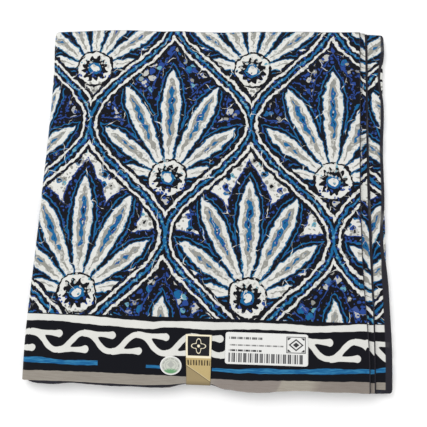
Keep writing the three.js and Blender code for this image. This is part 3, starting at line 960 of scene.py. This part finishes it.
def moved(flat, wobble):
    """Flat coordinates in millimetres, moved about by soft noise."""
    base = flat
    for frequency, reach in wobble:
        noise = flat.noise(frequency, 1.0, "Color").vector("SUBTRACT", {1: (0.5, 0.5, 0.5)})
        base = noise.vector("MULTIPLY_ADD", {1: (reach, reach, 0), 2: base})
    return base


def wax_print(name):
    """Matte cotton, dyed through on both sides, with the blotted edges of the wax and a plain weave."""
    material = new_material(name, {"Sheen Weight": 0.03, "Sheen Roughness": 0.5, "Specular IOR Level": 0.12})
    start = Value(material.node_tree)
    cloth = start.node("ShaderNodeAttribute", {"attribute_name": "cloth"}, output="Vector")
    flat = cloth.vector("MULTIPLY", {1: (1 / MM, 1 / MM, 0.0)})
    drawn = moved(flat, FIELD_WOBBLE)
    paint = field_print(drawn, drawn.part(0), drawn.part(1))
    crack = drawn.cells(CRACKS["cells"], 1.0, "Distance", "DISTANCE_TO_EDGE") / CRACKS["cells"]
    wide = flat.noise(CRACKS["patches"]) * CRACKS["spread"] - CRACKS["bare"]
    paint = (wide - crack).inside().over(paint, OFF_WHITE)
    drawn = moved(flat, BORDER_WOBBLE)
    v = drawn.part(1)
    paint = border_print(paint, drawn.part(0), v.math("MINIMUM", CLOTH_WIDTH - v))

    cloud = flat.noise(CLOUDS, 3.0)
    mottle = flat.noise(MOTTLING)
    shade = cloth.part(2)
    # Painted shade, as much as the stored amount says, a little uneven with the clouds.
    fold = (shade - PAINTED_SHADE_MASK["from"]).math("MULTIPLY", PAINTED_SHADE_MASK["steep"], clamp=True)
    fold = fold * (cloud * PAINTED_SHADE_MASK["cloud"] + PAINTED_SHADE_MASK["even"]).math("MINIMUM", 1.0)
    paint = fold.over(paint, PAINTED_SHADE_COLOUR)
    # Painted highlight on raw edges, where the stored amount is below zero.
    edge_highlight = (0 - shade).math("MULTIPLY", LIGHT["edge_highlight"], clamp=True)
    light = cloud * LIGHT["cloud"] + mottle * LIGHT["mottle"] + edge_highlight + LIGHT["even"]
    weave = flat.part(0).wave(WEAVE["pitch"]) * flat.part(1).wave(WEAVE["pitch"])
    slub = flat.vector("MULTIPLY", {1: WEAVE["slub"]}).noise(1.0)
    height = weave * WEAVE["height"] + slub
    bump = height.node("ShaderNodeBump", {}, {"Strength": 0.35, "Distance": 0.00008, "Height": height})
    paint = paint.vector("SCALE", {"Scale": light})
    feed(material, {"Base Color": paint, "Roughness": mottle * 0.12 + 0.78, "Normal": bump})
    return material


folded_cotton = wax_print("folded_cotton")

full_width = across_cloth("ABC", (0.06, 0.3, 0.7, 0.94))
covered_width = across_cloth("BC", tuple(np.linspace(0.03, 0.97, 40)))


def hidden_runs():
    """The stretches of the inner folds, each with its points across: all plies, or all but the outermost."""
    runs = [{"plies": full_width, "stations": []}]
    for stretch in stretches:
        leaf = stretch["leaf"]
        outside = leaf in (15, 0) or (leaf == 8 and (stretch["strip"] or stretch["turn"]))
        shown = (leaf == 4 and (stretch["strip"] or stretch["turn"])) or (leaf in (5, 6) and stretch["strip"])
        plies = covered_width if outside else full_width
        if shown:
            if runs[-1]["stations"]:
                runs.append({"plies": full_width, "stations": []})
            continue
        if runs[-1]["plies"] is not plies:
            runs.append({"plies": plies, "stations": []})
        runs[-1]["stations"] += stretch["stations"][1:] if runs[-1]["stations"] else stretch["stations"]
    return [run for run in runs if len(run["stations"]) > 1]


inner_folds = grid_mesh(
    "inner_cloth",
    [swept(run["stations"], run["plies"], hidden_lines) for run in hidden_runs()],
)
inner_folds.data.materials.append(folded_cotton)
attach(inner_folds, "root")
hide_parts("inner_folds")

# ---- Back leaf ----
# The outermost ply on the underside. It comes up round the fold on the right and ends as the widest of the
# strips on top. It is the printed side of the cloth, with its raw selvedge along the hem.

printed_cotton = wax_print("printed_cotton")
OUTER = 0.46  # from the middle of a leaf to the outer face of its outermost ply
PLY = 0.24
PLY_FOLD = 0.3  # half the height of its fold at the back
OUTER_RAW_EDGE = ((6.0, -PLY), (0.06, -PLY), (0.0, -PLY / 2), (0.06, 0.0))
# Painted highlight along the raw edge, stored as shade below zero: how much at some distances from it.
EDGE_HIGHLIGHT = ((0.5, -0.8), (1.3, 0.0), (2.6, 0.0))  # how pale the cloth is at some distances from its raw edge
PANEL_INSETS = (4.5, 3.0)
NEAR_BACK = (1.8, 0.9)
BACK_RETURN = 6.0  # how far it goes on below its fold at the back
SPINE_FLAP = 8.0
# Its recess behind the other leaves on the underside, and its lines where it shows on top.
BACK_RECESS = 1.3
BACK_STRIP = {"hem": 2.8, "back": -1.0, "reach": 0.3, "sway": 0.25}
BACK_CORNERS = {"hem": 3.0, "back": 4.0}
STRIP_REACH = {"by": 0.9, "from": 136, "to": 158}  # a strip's back fold comes out further where it shows


def strip_reach(x):
    return STRIP_REACH["by"] * float(ease(STRIP_REACH["from"], STRIP_REACH["to"], x))


def outer_ply(rows):
    """Points across the outermost ply: its raw edge at the hem, the panel, and the round fold at the back."""
    made = []
    # The rim of the raw edge gets full painted highlight.
    for inset, offset in OUTER_RAW_EDGE:
        made.append(point(0, inset, OUTER + offset, RAW, BACK_FOLD, inset, -1.0))
    for inset, highlight in EDGE_HIGHLIGHT:
        made.append(point(0, inset, OUTER, RAW, BACK_FOLD, inset, highlight))
    for share in np.linspace(PANEL_INSETS[0] / DEPTH, 1 - PANEL_INSETS[1] / DEPTH, rows):
        made.append(point(float(share), 0, OUTER, RAW, BACK_FOLD, float(share) * DEPTH, 0.0))
    for inset in NEAR_BACK:
        made.append(point(1, -inset, OUTER, RAW, BACK_FOLD, DEPTH - inset, 0.0))
    made += nose_points(RAW, BACK_FOLD, True, OUTER - PLY_FOLD, PLY_FOLD, DEPTH, steps=8)
    low = OUTER - 2 * PLY_FOLD
    # Below its fold at the back the cloth gets full painted shade.
    made.append(point(1, -BACK_RETURN, low, RAW, BACK_FOLD, DEPTH + BACK_RETURN, 1.0))
    return made


def back_lines(s):
    """Raw selvedge and back fold of the back leaf, by the height at which it lies."""
    x_hem = float(s["x"](0))
    x_back = float(s["x"](DEPTH))
    height = min(s["level"] / (PACKET_HEIGHT / 2), 1.0)
    hem = mix(float(end("folds", x_hem)) + BACK_RECESS, BACK_STRIP["hem"], height)
    back = float(end("back", x_back)) - mix(BACK_RECESS, BACK_STRIP["back"], height)
    back += BACK_STRIP["reach"] * strip_reach(x_back) * height
    hem += float(corner(side("back", 0) - x_hem, BACK_CORNERS["hem"]))
    back -= float(corner(side("back", DEPTH) - x_back, BACK_CORNERS["back"]))
    hem += BACK_STRIP["sway"] * wander(s["along"], (97, 41, 19), (0.2, 3.0, 1.0))
    return hem, hem, back, back


def seam_x(y):
    return side("spine", y) + SPINE_DEPTH + SPINE_FLAP


def fine_leaf(leaf, start, stop, count, flat_u=False):
    """Stations on one leaf between two x functions, with their length along the cloth."""
    made = leaf_stations(leaf, start, stop, np.linspace(0, 1, count))
    known = [s for part in stretches if part["leaf"] == leaf and not part["turn"] for s in part["stations"]]
    xs = np.array([float(s["x"](DEPTH / 2)) for s in known])
    along = np.array([s["along"] for s in known])
    order = np.argsort(xs)
    for s in made:
        s["along"] = float(np.interp(float(s["x"](DEPTH / 2)), xs[order], along[order]))
        s["flat_u"] = flat_u
    return made


def fine_turn(leaf, following, steps, first=0):
    """Stations round one turn, with their length along the cloth."""
    part = next(s["stations"] for s in stretches if s["leaf"] == leaf and s["turn"])
    made = turn_stations(leaf, following, steps, first)
    for k, s in enumerate(made):
        s["along"] = mix(part[0]["along"], part[-1]["along"], (first + k) / steps)
    return made


def level_with_front(made, repeats):
    """Shifts the print, so that the border carries on from the front leaf, some repeats further on."""
    shift = float(made[0]["x"](DEPTH / 2)) + repeats * BORDER_REPEAT - made[0]["along"]
    for s in made:
        s["along"] += shift
    return made


# Painted shade, which also stands for dark print, on the round right side of the back leaf: its band and
# where it fades.
DARK_BAND = {"at_hem": 7.8, "at_back": 4.0, "from": 60, "to": 190, "edge": (-0.9, 0.5), "levels": (2.6, 5.0)}


def dark_side(x, y, level):
    """The round right side of the packet is painted dark, as painted shade that also stands for dark print,
    in a band that is broader towards the hem.
    """
    band = mix(DARK_BAND["at_hem"], DARK_BAND["at_back"], ease(DARK_BAND["from"], DARK_BAND["to"], y))
    return ease(*DARK_BAND["edge"], x - side("back", y) + band) * ease(*DARK_BAND["levels"], level)


back_stations = level_with_front(
    fine_leaf(8, strip_start, right_turn_x("back", 8), count=30)
    + fine_turn(8, 15, steps=14, first=1)
    + fine_leaf(15, right_turn_x("back", 15), seam_x, count=76)[1:],
    repeats=3,
)
for s in back_stations:
    s["dark"] = lambda x, y, level=s["level"]: dark_side(x, y, level)
back_leaf = grid_mesh("back_cloth", [swept(back_stations, outer_ply(120), back_lines, by_place=True)])
back_leaf.data.materials.append(printed_cotton)
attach(back_leaf, "root")
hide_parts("back_leaf")

# ---- Third leaf ----
# The cut end of the cloth. All three plies show as a narrow strip between the second leaf and the back one.


# How far the folds and the far selvedge of a strip lie inside its raw selvedge and its line at the back.
STRIP_EDGES = {"sway": 0.3, "fold": 0.6, "back_fold": 0.2, "far": 0.8}
# The narrow strip is painted this much shade all over.
THIRD_SHADE = 0.75


def strip_lines(hem_recess, back_recess):
    """Lines of a leaf that shows as a strip: close to the front leaf's hem, with the folds just behind."""

    def lines(s):
        x_hem = float(s["x"](0))
        x_back = float(s["x"](DEPTH))
        hem = float(end("hem", x_hem)) + hem_recess
        back = float(end("back", x_back)) - back_recess + strip_reach(x_back)
        sway = STRIP_EDGES["sway"] * wander(s["along"], (83, 37, 17), (0.9, 2.4, 4.0))
        fold = hem + STRIP_EDGES["fold"] - sway
        back_fold = back - STRIP_EDGES["back_fold"] + sway
        return hem + sway, fold, back_fold, back - STRIP_EDGES["far"] - sway

    return lines


def evenly_dark(stations, shade):
    """Gives each station one even amount of painted shade, worked out from how far out on a turn it lies."""
    for s in stations:
        s["dark"] = lambda x, y, even=float(shade(s["outward"])): np.full(x.shape, even)


strip_width = across_cloth("ABC", tuple(np.linspace(0.02, 0.98, 60)))
third_stations = level_with_front(fine_leaf(6, strip_start, right_turn_x("third", 6), count=20), repeats=2)
evenly_dark(third_stations, lambda outward: THIRD_SHADE)
third_leaf = grid_mesh("third_cloth", [swept(third_stations, strip_width, strip_lines(1.4, 0.2))])
third_leaf.data.materials.append(printed_cotton)
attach(third_leaf, "root")
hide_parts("third_leaf")

# ---- Second leaf ----
# Two leaves and the fold between them, all three plies. The fold shows as a strip past the front leaf's edge,
# and gets painted shade from where it starts to turn down.

# Painted shade on the fold's strip, and how far out on the turn it starts and is full.
SECOND_SHADE = 0.8
SECOND_TURN = (0.15, 0.5)
second_stations = level_with_front(
    fine_leaf(4, strip_start, right_turn_x("second", 4), count=20)
    + fine_turn(4, 5, steps=10, first=1)
    + fine_leaf(5, right_turn_x("second", 5), strip_start, count=10)[1:],
    repeats=1,
)
evenly_dark(second_stations, lambda outward: SECOND_SHADE * ease(*SECOND_TURN, outward))
second_leaf = grid_mesh("second_cloth", [swept(second_stations, strip_width, strip_lines(0.6, 0.0))])
second_leaf.data.materials.append(printed_cotton)
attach(second_leaf, "root")
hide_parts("second_leaf")

# ---- Front leaf ----
# The outermost ply on top, printed side up. It comes from under the round edge on the right, lies over the
# whole packet, and goes round the spine on the left to the underside. Its raw selvedge is the hem.

FRONT_COLUMNS = 168
FRONT_ROWS = 178
FRONT_CORNER = 3.0
TUCKED = 3.0  # how far it goes on below its fold on the right
FRONT_RECESS = {"hem": 0.9, "back": 0.6}  # on the underside
DRAWN_IN = {"by": 0.6, "levels": (12.2, 15.4)}  # its fold on the right is narrower below the panel
HEM_SWAY = 0.16
RIPPLES = uneven_waves(7, 12, 7, 26)
RIPPLE_STEEPNESS = 0.0011
FREE_EDGE = {"lift": 0.42, "reach": 9.0, "held": (16.0, 34.0)}
PANEL_LEVELS = (13, 15)  # the ripples come in between these levels
# Painted shade along the front leaf's right edge, where it turns down.
FRONT_TURN = (0.5, 1.3)  # how far out on its turn the dark of its right edge starts and is full


def front_lines(s):
    """Raw selvedge and back fold of the front leaf."""
    x_hem = float(s["x"](0))
    x_back = float(s["x"](DEPTH))
    low = 1 - min(s["level"] / (PACKET_HEIGHT / 2), 1.0)
    hem = float(end("hem", x_hem)) + low * FRONT_RECESS["hem"]
    back = float(end("back", x_back)) - low * FRONT_RECESS["back"]
    hem += float(corner(x_hem - side("spine", 0), FRONT_CORNER))
    back -= float(corner(x_back - side("spine", DEPTH), FRONT_CORNER))
    drawn_in = DRAWN_IN["by"] * (1 - ease(*DRAWN_IN["levels"], s["level"])) if x_hem > 0 else 0.0
    hem += drawn_in + HEM_SWAY * wander(x_hem, (47, 23, 13), (0.5, 2.0, 3.1))
    return hem, hem, back - drawn_in, back - drawn_in


def ripple(x, y, s):
    """Fine unevenness of the top ply, and its free edge, which stands up a little beside the gold seal."""
    free = np.clip(0.5 + 0.8 * wander(x, (118, 53, 31), (2.0, 0.7, 5.0)), 0, 1)
    held = ease(*FREE_EDGE["held"], np.abs(x - SEAL_MIDDLE))
    lift = FREE_EDGE["lift"] * free * held * shoulder(np.maximum(y, 0), FREE_EDGE["reach"])
    return (heave(RIPPLES, RIPPLE_STEEPNESS, x, y) + lift) * ease(*PANEL_LEVELS, s["level"])


front_stations = (
    fine_leaf(3, lambda y: right_turn_x("front", 3)(y) - TUCKED, right_turn_x("front", 3), count=3)[:-1]
    + fine_turn(0, 3, steps=12)[::-1]
    + fine_leaf(0, right_turn_x("front", 0), left_turn_x, FRONT_COLUMNS, flat_u=True)[1:]
    + fine_turn(15, 0, steps=20)[::-1][1:]
    + fine_leaf(15, left_turn_x, seam_x, count=5)[1:]
)
right_turn = [s for s in front_stations if s["outward"] > 0]
evenly_dark(right_turn, lambda outward: ease(*FRONT_TURN, outward))
front_leaf = grid_mesh(
    "front_cloth", [swept(front_stations, outer_ply(FRONT_ROWS), front_lines, ripple, by_place=True)]
)
front_leaf.data.materials.append(printed_cotton)
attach(front_leaf, "root")
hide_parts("front_leaf")

# ---- Paper label ----
# A white paper sticker with rounded corners, printed with plain grey bars and a small framed ornament.

LABEL = {"x": 60.5, "y": 38.0, "width": 82.6, "depth": 31.3, "corner": 2.5}
PAPER = 0.14  # thickness
STUCK = 0.1  # glue and air below a paper


def paper_piece(name, plan, local):
    """A thin paper on the front leaf, over a grid of plan points. Its own coordinates are kept in cloth."""
    x, y = plan
    level = np.full(x.shape, PACKET_HEIGHT)
    foot = place(x, y, level)
    foot[..., 2] += STUCK * MM
    top = foot.copy()
    top[..., 2] += PAPER * MM
    flat = np.stack([local[0] * MM, local[1] * MM, np.zeros(x.shape)], axis=-1)
    grown = np.pad(top, ((1, 1), (1, 1), (0, 0)), mode="edge")
    low = np.pad(foot, ((1, 1), (1, 1), (0, 0)), mode="edge")
    grown[[0, -1]] = low[[0, -1]]
    grown[:, [0, -1]] = low[:, [0, -1]]
    wide = np.pad(flat, ((1, 1), (1, 1), (0, 0)), mode="edge")
    return grid_mesh(name, [(grown, wide)])


def paper_material(name, paint, roughness, metallic=0.0):
    """Printed paper: paint gives its colour from its own coordinates in millimetres."""
    material = new_material(name, {"Metallic": metallic, "Specular IOR Level": 0.25})
    start = Value(material.node_tree)
    own = start.node("ShaderNodeAttribute", {"attribute_name": "cloth"}, output="Vector")
    flat = own.vector("SCALE", {"Scale": 1 / MM})
    grain = flat.noise(0.9, 3.0)
    bump = grain.node("ShaderNodeBump", {}, {"Strength": 0.3, "Distance": 0.00005, "Height": grain})
    feed(
        material,
        {
            "Base Color": paint(flat.part(0), flat.part(1), grain),
            "Roughness": grain * 0.16 + roughness - 0.08,
            "Normal": bump,
        },
    )
    return material


PAPER_WHITE = colour(224, 224, 222)
PAPER_SHADE = colour(214, 214, 211)
PRINT_GREY = colour(104, 104, 106)
PRINT_BLACK = colour(38, 38, 41)
# The printed lines: the middle and half the height of each, its ends, its pitch and its ink.
LINES = (
    {"up": 10.0, "start": -37.5, "stop": -4.3, "half": 1.15, "pitch": 2.1, "ink": 0.85},
    {"up": 3.05, "start": -37.5, "stop": 16.7, "half": 0.75, "pitch": 1.6, "ink": 0.75},
    {"up": -2.15, "start": -37.5, "stop": -4.9, "half": 0.95, "pitch": 1.9, "ink": 1.0},
)
ORNAMENT = {"across": 29.3, "up": 4.9, "half_across": 9.6, "half_up": 8.1, "frame": 0.75, "field": 1.2}
LOZENGE = {"flat": 0.8, "start": 4.4, "stop": 6.0, "heart": 2.6}
CORNER_MARK = {"across": 7.4, "up": 4.6, "flat": 0.9}
BARS = {"start": -38.0, "stop": 36.5, "low": -13.7, "high": -4.6}
BAR_STROKES = {"often": 2.7, "beat": 1.13, "shift": 0.6, "weight": 0.9, "more": 0.2}
DASHES = {"beat": 0.9, "shift": 0.0, "weight": 0.9, "more": 0.7}


def uneven_strokes(across, kind):
    """Above zero on strokes of uneven width."""
    beat = (across * kind["beat"] + kind["shift"]).math("SINE") * kind["weight"]
    return (across * kind["often"]).math("SINE") + beat + kind["more"]


def label_paint(across, up, grain):
    """Bars along the lower part, three dashed lines above them and a framed ornament in the upper corner."""
    lit = grain.over(PAPER_WHITE, PAPER_SHADE)
    bars = uneven_strokes(across, BAR_STROKES)
    grey = (across * 1.9 + 2.0).math("SINE") * 0.5 + 0.5
    block = across.between(BARS["start"], BARS["stop"]) * up.between(BARS["low"], BARS["high"])
    paint = (bars.inside(0.6) * block).over(lit, grey.over(PRINT_BLACK, PRINT_GREY))
    for line in LINES:
        dashes = uneven_strokes(across, {**DASHES, "often": 2 * math.pi / line["pitch"]})
        row = up.between(line["up"] - line["half"], line["up"] + line["half"])
        row = row * across.between(line["start"], line["stop"]) * dashes.inside(0.8)
        paint = (row * line["ink"]).over(paint, PRINT_BLACK)
    side_x = abs(across - ORNAMENT["across"])
    side_y = abs(up - ORNAMENT["up"])
    frame_depth = (ORNAMENT["half_across"] - side_x).math("MINIMUM", ORNAMENT["half_up"] - side_y)
    paint = frame_depth.between(0.0, ORNAMENT["frame"]).over(paint, PRINT_BLACK)
    far = side_x * LOZENGE["flat"] + side_y
    lozenge = far.between(LOZENGE["start"], LOZENGE["stop"]) + (LOZENGE["heart"] - far).inside()
    paint = lozenge.over(paint, PRINT_BLACK)
    beyond = (side_x - CORNER_MARK["across"]).math("MINIMUM", 0.0) * CORNER_MARK["flat"]
    mark = (beyond + side_y - CORNER_MARK["up"]).inside() * (frame_depth - ORNAMENT["field"]).inside()
    return mark.over(paint, PRINT_BLACK)


label_s = np.linspace(-1, 1, 60)
label_t = np.concatenate([np.linspace(-1, -0.8, 6), np.linspace(-0.75, 0.75, 16), np.linspace(0.8, 1, 6)])
grid_s, grid_t = np.meshgrid(label_s, label_t, indexing="ij")
to_edge = LABEL["depth"] / 2 * (1 - np.abs(grid_t))
half_label = LABEL["width"] / 2 - corner(to_edge, LABEL["corner"])
label_plan = (LABEL["x"] + grid_s * half_label, LABEL["y"] + grid_t * LABEL["depth"] / 2)
label_own = (grid_s * half_label, grid_t * LABEL["depth"] / 2)
paper_label = paper_piece("label_paper", label_plan, label_own)
paper_label.data.materials.append(paper_material("white_paper", label_paint, 0.5))
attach(paper_label, "root")
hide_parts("paper_label")

# ---- Round seal ----
# A small round paper seal with a white rim, plain rings and a wash of green at its foot.

ROUND_SEAL = {"x": -34.7, "y": 18.7, "across": 10.8, "along": 9.2}
SEAL_GREY = colour(191, 194, 184)
SEAL_INK = colour(128, 128, 130)
SEAL_GREEN = colour(98, 150, 106)
# Rings of the seal, in tenths of its half width.
SEAL_RINGS = {"face": 8.9, "wash": 8.3, "arcs": (6.6, 7.9), "line": (4.7, 5.2)}
ARC_STROKES = {"often": 9.0, "beat": 23.0, "shift": 0.0, "weight": 0.8, "more": 0.5}
SEAL_LEAF = {"half": 2.4, "up": 1.0, "across": 0.7, "along": 0.6}


def seal_paint(across, up, grain):
    """Arcs, a small lozenge leaf in the middle, and a soft green wash below it."""
    across = across / ROUND_SEAL["across"] * 10
    up = up / ROUND_SEAL["along"] * 10
    far = hypotenuse(across, up)
    turn = across.math("ARCTAN2", up)
    paint = (SEAL_RINGS["face"] - far).inside().over(PAPER_WHITE, SEAL_GREY)
    broken = uneven_strokes(turn, ARC_STROKES).inside(0.7)
    paint = (far.between(*SEAL_RINGS["arcs"]) * broken * 0.55).over(paint, SEAL_INK)
    paint = (far.between(*SEAL_RINGS["line"]) * 0.5).over(paint, SEAL_INK)
    leaf = abs(across) * SEAL_LEAF["across"] + abs(up - SEAL_LEAF["up"]) * SEAL_LEAF["along"]
    paint = ((SEAL_LEAF["half"] - leaf).inside(0.6) * 0.45).over(paint, SEAL_INK)
    low = (grain * 4.0 - 5.6 - up - across * across * 0.05).inside(2.6)
    return (low * (SEAL_RINGS["wash"] - far).inside(0.8)).over(paint, SEAL_GREEN)


seal_step = np.linspace(-1, 1, 25)
seal_s, seal_t = np.meshgrid(seal_step, seal_step, indexing="ij")
seal_across = ROUND_SEAL["across"] * seal_s * np.sqrt(1 - seal_t**2 / 2)
seal_up = ROUND_SEAL["along"] * seal_t * np.sqrt(1 - seal_s**2 / 2)
round_seal = paper_piece(
    "seal_round",
    (ROUND_SEAL["x"] + seal_across, ROUND_SEAL["y"] + seal_up),
    (seal_across, seal_up),
)
round_seal.data.materials.append(paper_material("seal_paper", seal_paint, 0.42))
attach(round_seal, "root")
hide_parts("round_seal")

# ---- Gold seal ----
# A gold paper strip that holds the packet shut: it is glued down the panel, goes over the hem and down the
# front folds. Its lower part has a slanting crease.

GOLD = {
    "left": -20.9,
    "right": 5.4,
    "start": 50.0,
    "turn": 6.0,
    "foot": 1.0,
    "lean": 2.4,
    "bend": 1.1,
    "taut": 0.3,
    "raised": 0.3,
    "thick": 0.14,
}
GOLD_HALF = (GOLD["right"] - GOLD["left"]) / 2
GOLD_FACE = colour(190, 169, 120)
GOLD_GRAIN = colour(176, 156, 106)
# Painted shade below the crease and at the foot, where the paper tilts down; the ink also paints the shadow
# line in the crease, and the cream a painted highlight just above it.
GOLD_PAINTED_SHADE = colour(152, 135, 99)
GOLD_FOOT_SHADE = colour(92, 82, 64)
CREAM_AND_CREASE_HIGHLIGHT = colour(233, 224, 196)
GOLD_INK_AND_CREASE_SHADOW = colour(66, 55, 35)
SLANT = {"middle": 11.8, "slope": 0.588, "rise": 0.3, "width": 1.6}  # the crease over its lower part
# Its print, up from where the crease is measured: the strokes, the cream frame and the dark panel in it.
STROKES = {"low": 19.8, "high": 25.0, "pitch": 2.9, "margin": 0.9}
FRAME_FOOT = 26.9
PANEL = {"low": 29.1, "high": 48.4, "margin": 2.0, "middle": 38.7}
QUATREFOIL = {"far": 5.4, "lobe": 1.8, "half_line": 0.45, "heart": 1.4}


def slant(across, up):
    """How far above the crease a point lies."""
    return up - SLANT["middle"] + across * SLANT["slope"]


def gold_paint(across, up, grain):
    """A dark panel in a cream frame with a quatrefoil line, a band of short strokes, and the gold field, with
    painted shade below the crease and at the foot, a painted shadow line in the crease and a painted
    highlight just above it.
    """
    crease = slant(across, up)
    aside = abs(across)
    paint = (0 - crease).inside(1.2).over(grain.over(GOLD_FACE, GOLD_GRAIN), GOLD_PAINTED_SHADE)
    paint = (crease.between(-0.55, 0.25) * 0.75).over(paint, GOLD_INK_AND_CREASE_SHADOW)
    paint = (crease.between(0.3, 0.9) * 0.35).over(paint, CREAM_AND_CREASE_HIGHLIGHT)
    paint = (5.0 - up).math("DIVIDE", 6.5, clamp=True).over(paint, GOLD_FOOT_SHADE)
    strokes = across.wave(STROKES["pitch"]) + (across * 0.9 + up * 0.5).math("SINE") * 0.35
    strokes = strokes.inside(0.7) * up.between(STROKES["low"], STROKES["high"])
    strokes = strokes * (GOLD_HALF - STROKES["margin"] - aside).inside()
    paint = strokes.over(paint, GOLD_INK_AND_CREASE_SHADOW)
    paint = (up - FRAME_FOOT).inside().over(paint, CREAM_AND_CREASE_HIGHLIGHT)
    panel = (GOLD_HALF - PANEL["margin"] - aside).inside() * up.between(PANEL["low"], PANEL["high"])
    paint = panel.over(paint, BLACK)
    rise = up - PANEL["middle"]
    far = hypotenuse(across, rise)
    lobes = (across.math("ARCTAN2", rise) * 4).math("COSINE") * QUATREFOIL["lobe"]
    line = QUATREFOIL["half_line"]
    paint = (far - lobes - QUATREFOIL["far"]).between(-line, line).over(paint, CREAM_AND_CREASE_HIGHLIGHT)
    return (QUATREFOIL["heart"] - far).inside().over(paint, CREAM_AND_CREASE_HIGHLIGHT)


def gold_grid():
    """Points down the panel, round the hem and down the front, as the outer face of the paper."""
    share = np.linspace(0, 1, 22)
    xs = mix(GOLD["left"], GOLD["right"], share)
    front = float(np.minimum(end("hem", xs), end("folds", xs)).min()) - GOLD["raised"] - GOLD["taut"]
    downs = [("panel", y) for y in np.linspace(GOLD["start"], GOLD["turn"], 40)]
    downs += [("turn", t) for t in np.linspace(0, 1, 8)]
    downs += [("front", t) for t in np.linspace(0.12, 1, 10)]
    rows, own = [], []
    run = 0.0
    previous = None
    for kind, at in downs:
        y = at if kind == "panel" else front + GOLD["bend"]
        slide = 1 - ease(0, GOLD["start"], np.array(max(y, 0.0)))
        x = xs + GOLD["lean"] * slide * (1 - share)
        top = place(x, np.full(x.shape, y), np.full(x.shape, PACKET_HEIGHT))[:, 2] / MM + GOLD["raised"]
        if kind == "panel":
            z = top
        elif kind == "turn":
            angle = at * math.pi / 2
            y -= GOLD["bend"] * math.sin(angle)
            z = top - GOLD["bend"] * (1 - math.cos(angle))
        else:
            y -= GOLD["bend"]
            z = mix(top - GOLD["bend"], GOLD["foot"], at)
        here = np.array([y, z.mean()])
        run += 0 if previous is None else float(np.linalg.norm(here - previous))
        previous = here
        up = np.full(x.shape, GOLD["start"] - run)
        across = (share * 2 - 1) * GOLD_HALF
        if kind == "panel":
            z = z + SLANT["rise"] * np.exp(-((slant(across, up) / SLANT["width"]) ** 2))
        rows.append(np.stack([x, np.full(x.shape, y + HEM_Y), z], axis=-1) * MM)
        own.append(np.stack([across * MM, up * MM, np.zeros(x.shape)], axis=-1))
    return np.array(rows), np.array(own)


gold_seal = grid_mesh("seal_gold", [gold_grid()])
thick = gold_seal.modifiers.new("thickness", "SOLIDIFY")
thick.thickness = GOLD["thick"] * MM
thick.offset = -1.0
gold_seal.data.materials.append(paper_material("gold_paper", gold_paint, 0.42, 0.25))
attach(gold_seal, "root")
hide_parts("gold_seal")

# ---- Studio ----
# A plain pale table top under the packet, soft light from all round, a large lamp high up behind on the left,
# and the camera two thirds of a metre above the hem.

FLOOR_HALF = 3.0
floor_mesh = bpy.data.meshes.new("floor")
floor_corners = [(x * FLOOR_HALF, y * FLOOR_HALF, 0) for x, y in ((-1, -1), (1, -1), (1, 1), (-1, 1))]
floor_mesh.from_pydata(floor_corners, [], [(0, 1, 2, 3)])
floor = bpy.data.objects.new("floor", floor_mesh)
bpy.context.scene.collection.objects.link(floor)
pale_floor = new_material("pale_floor", {"Base Color": (0.98, 0.98, 0.98, 1), "Roughness": 0.9})
floor_mesh.materials.append(pale_floor)

world = bpy.data.worlds.new("soft_room")
world.use_nodes = True
background = world.node_tree.nodes["Background"]
background.inputs["Color"].default_value = (1, 1, 1, 1)
background.inputs["Strength"].default_value = 0.96
bpy.context.scene.world = world


def soft_light(name, place_at, aim, size, power):
    """A square area light that looks at a point."""
    light = bpy.data.lights.new(name, "AREA")
    light.size = size
    light.energy = power
    lamp = bpy.data.objects.new(name, light)
    lamp.location = place_at
    direction = np.array(aim) - np.array(place_at)
    lamp.rotation_euler = (
        math.acos(-direction[2] / np.linalg.norm(direction)),
        0,
        math.atan2(direction[1], direction[0]) - math.pi / 2,
    )
    bpy.context.scene.collection.objects.link(lamp)


soft_light("key", (-0.9, 0.9, 1.7), aim=(0, 0, 0), size=1.2, power=15)

# The camera's picture is square, and its focal length is one and a half times the picture's width.
PICTURE = 427
FOCAL = 640
SENSOR = 36
camera = bpy.data.cameras.new("camera")
camera.sensor_width = SENSOR
camera.lens = FOCAL / PICTURE * SENSOR
camera.clip_start = 0.01
eye = bpy.data.objects.new("camera", camera)
eye.location = (0.037152, -0.16367, 0.6706)
eye.rotation_euler = (0.223786, 0.044759, 0.035283)
bpy.context.scene.collection.objects.link(eye)
bpy.context.scene.camera = eye
bpy.context.scene.view_settings.view_transform = "Standard"
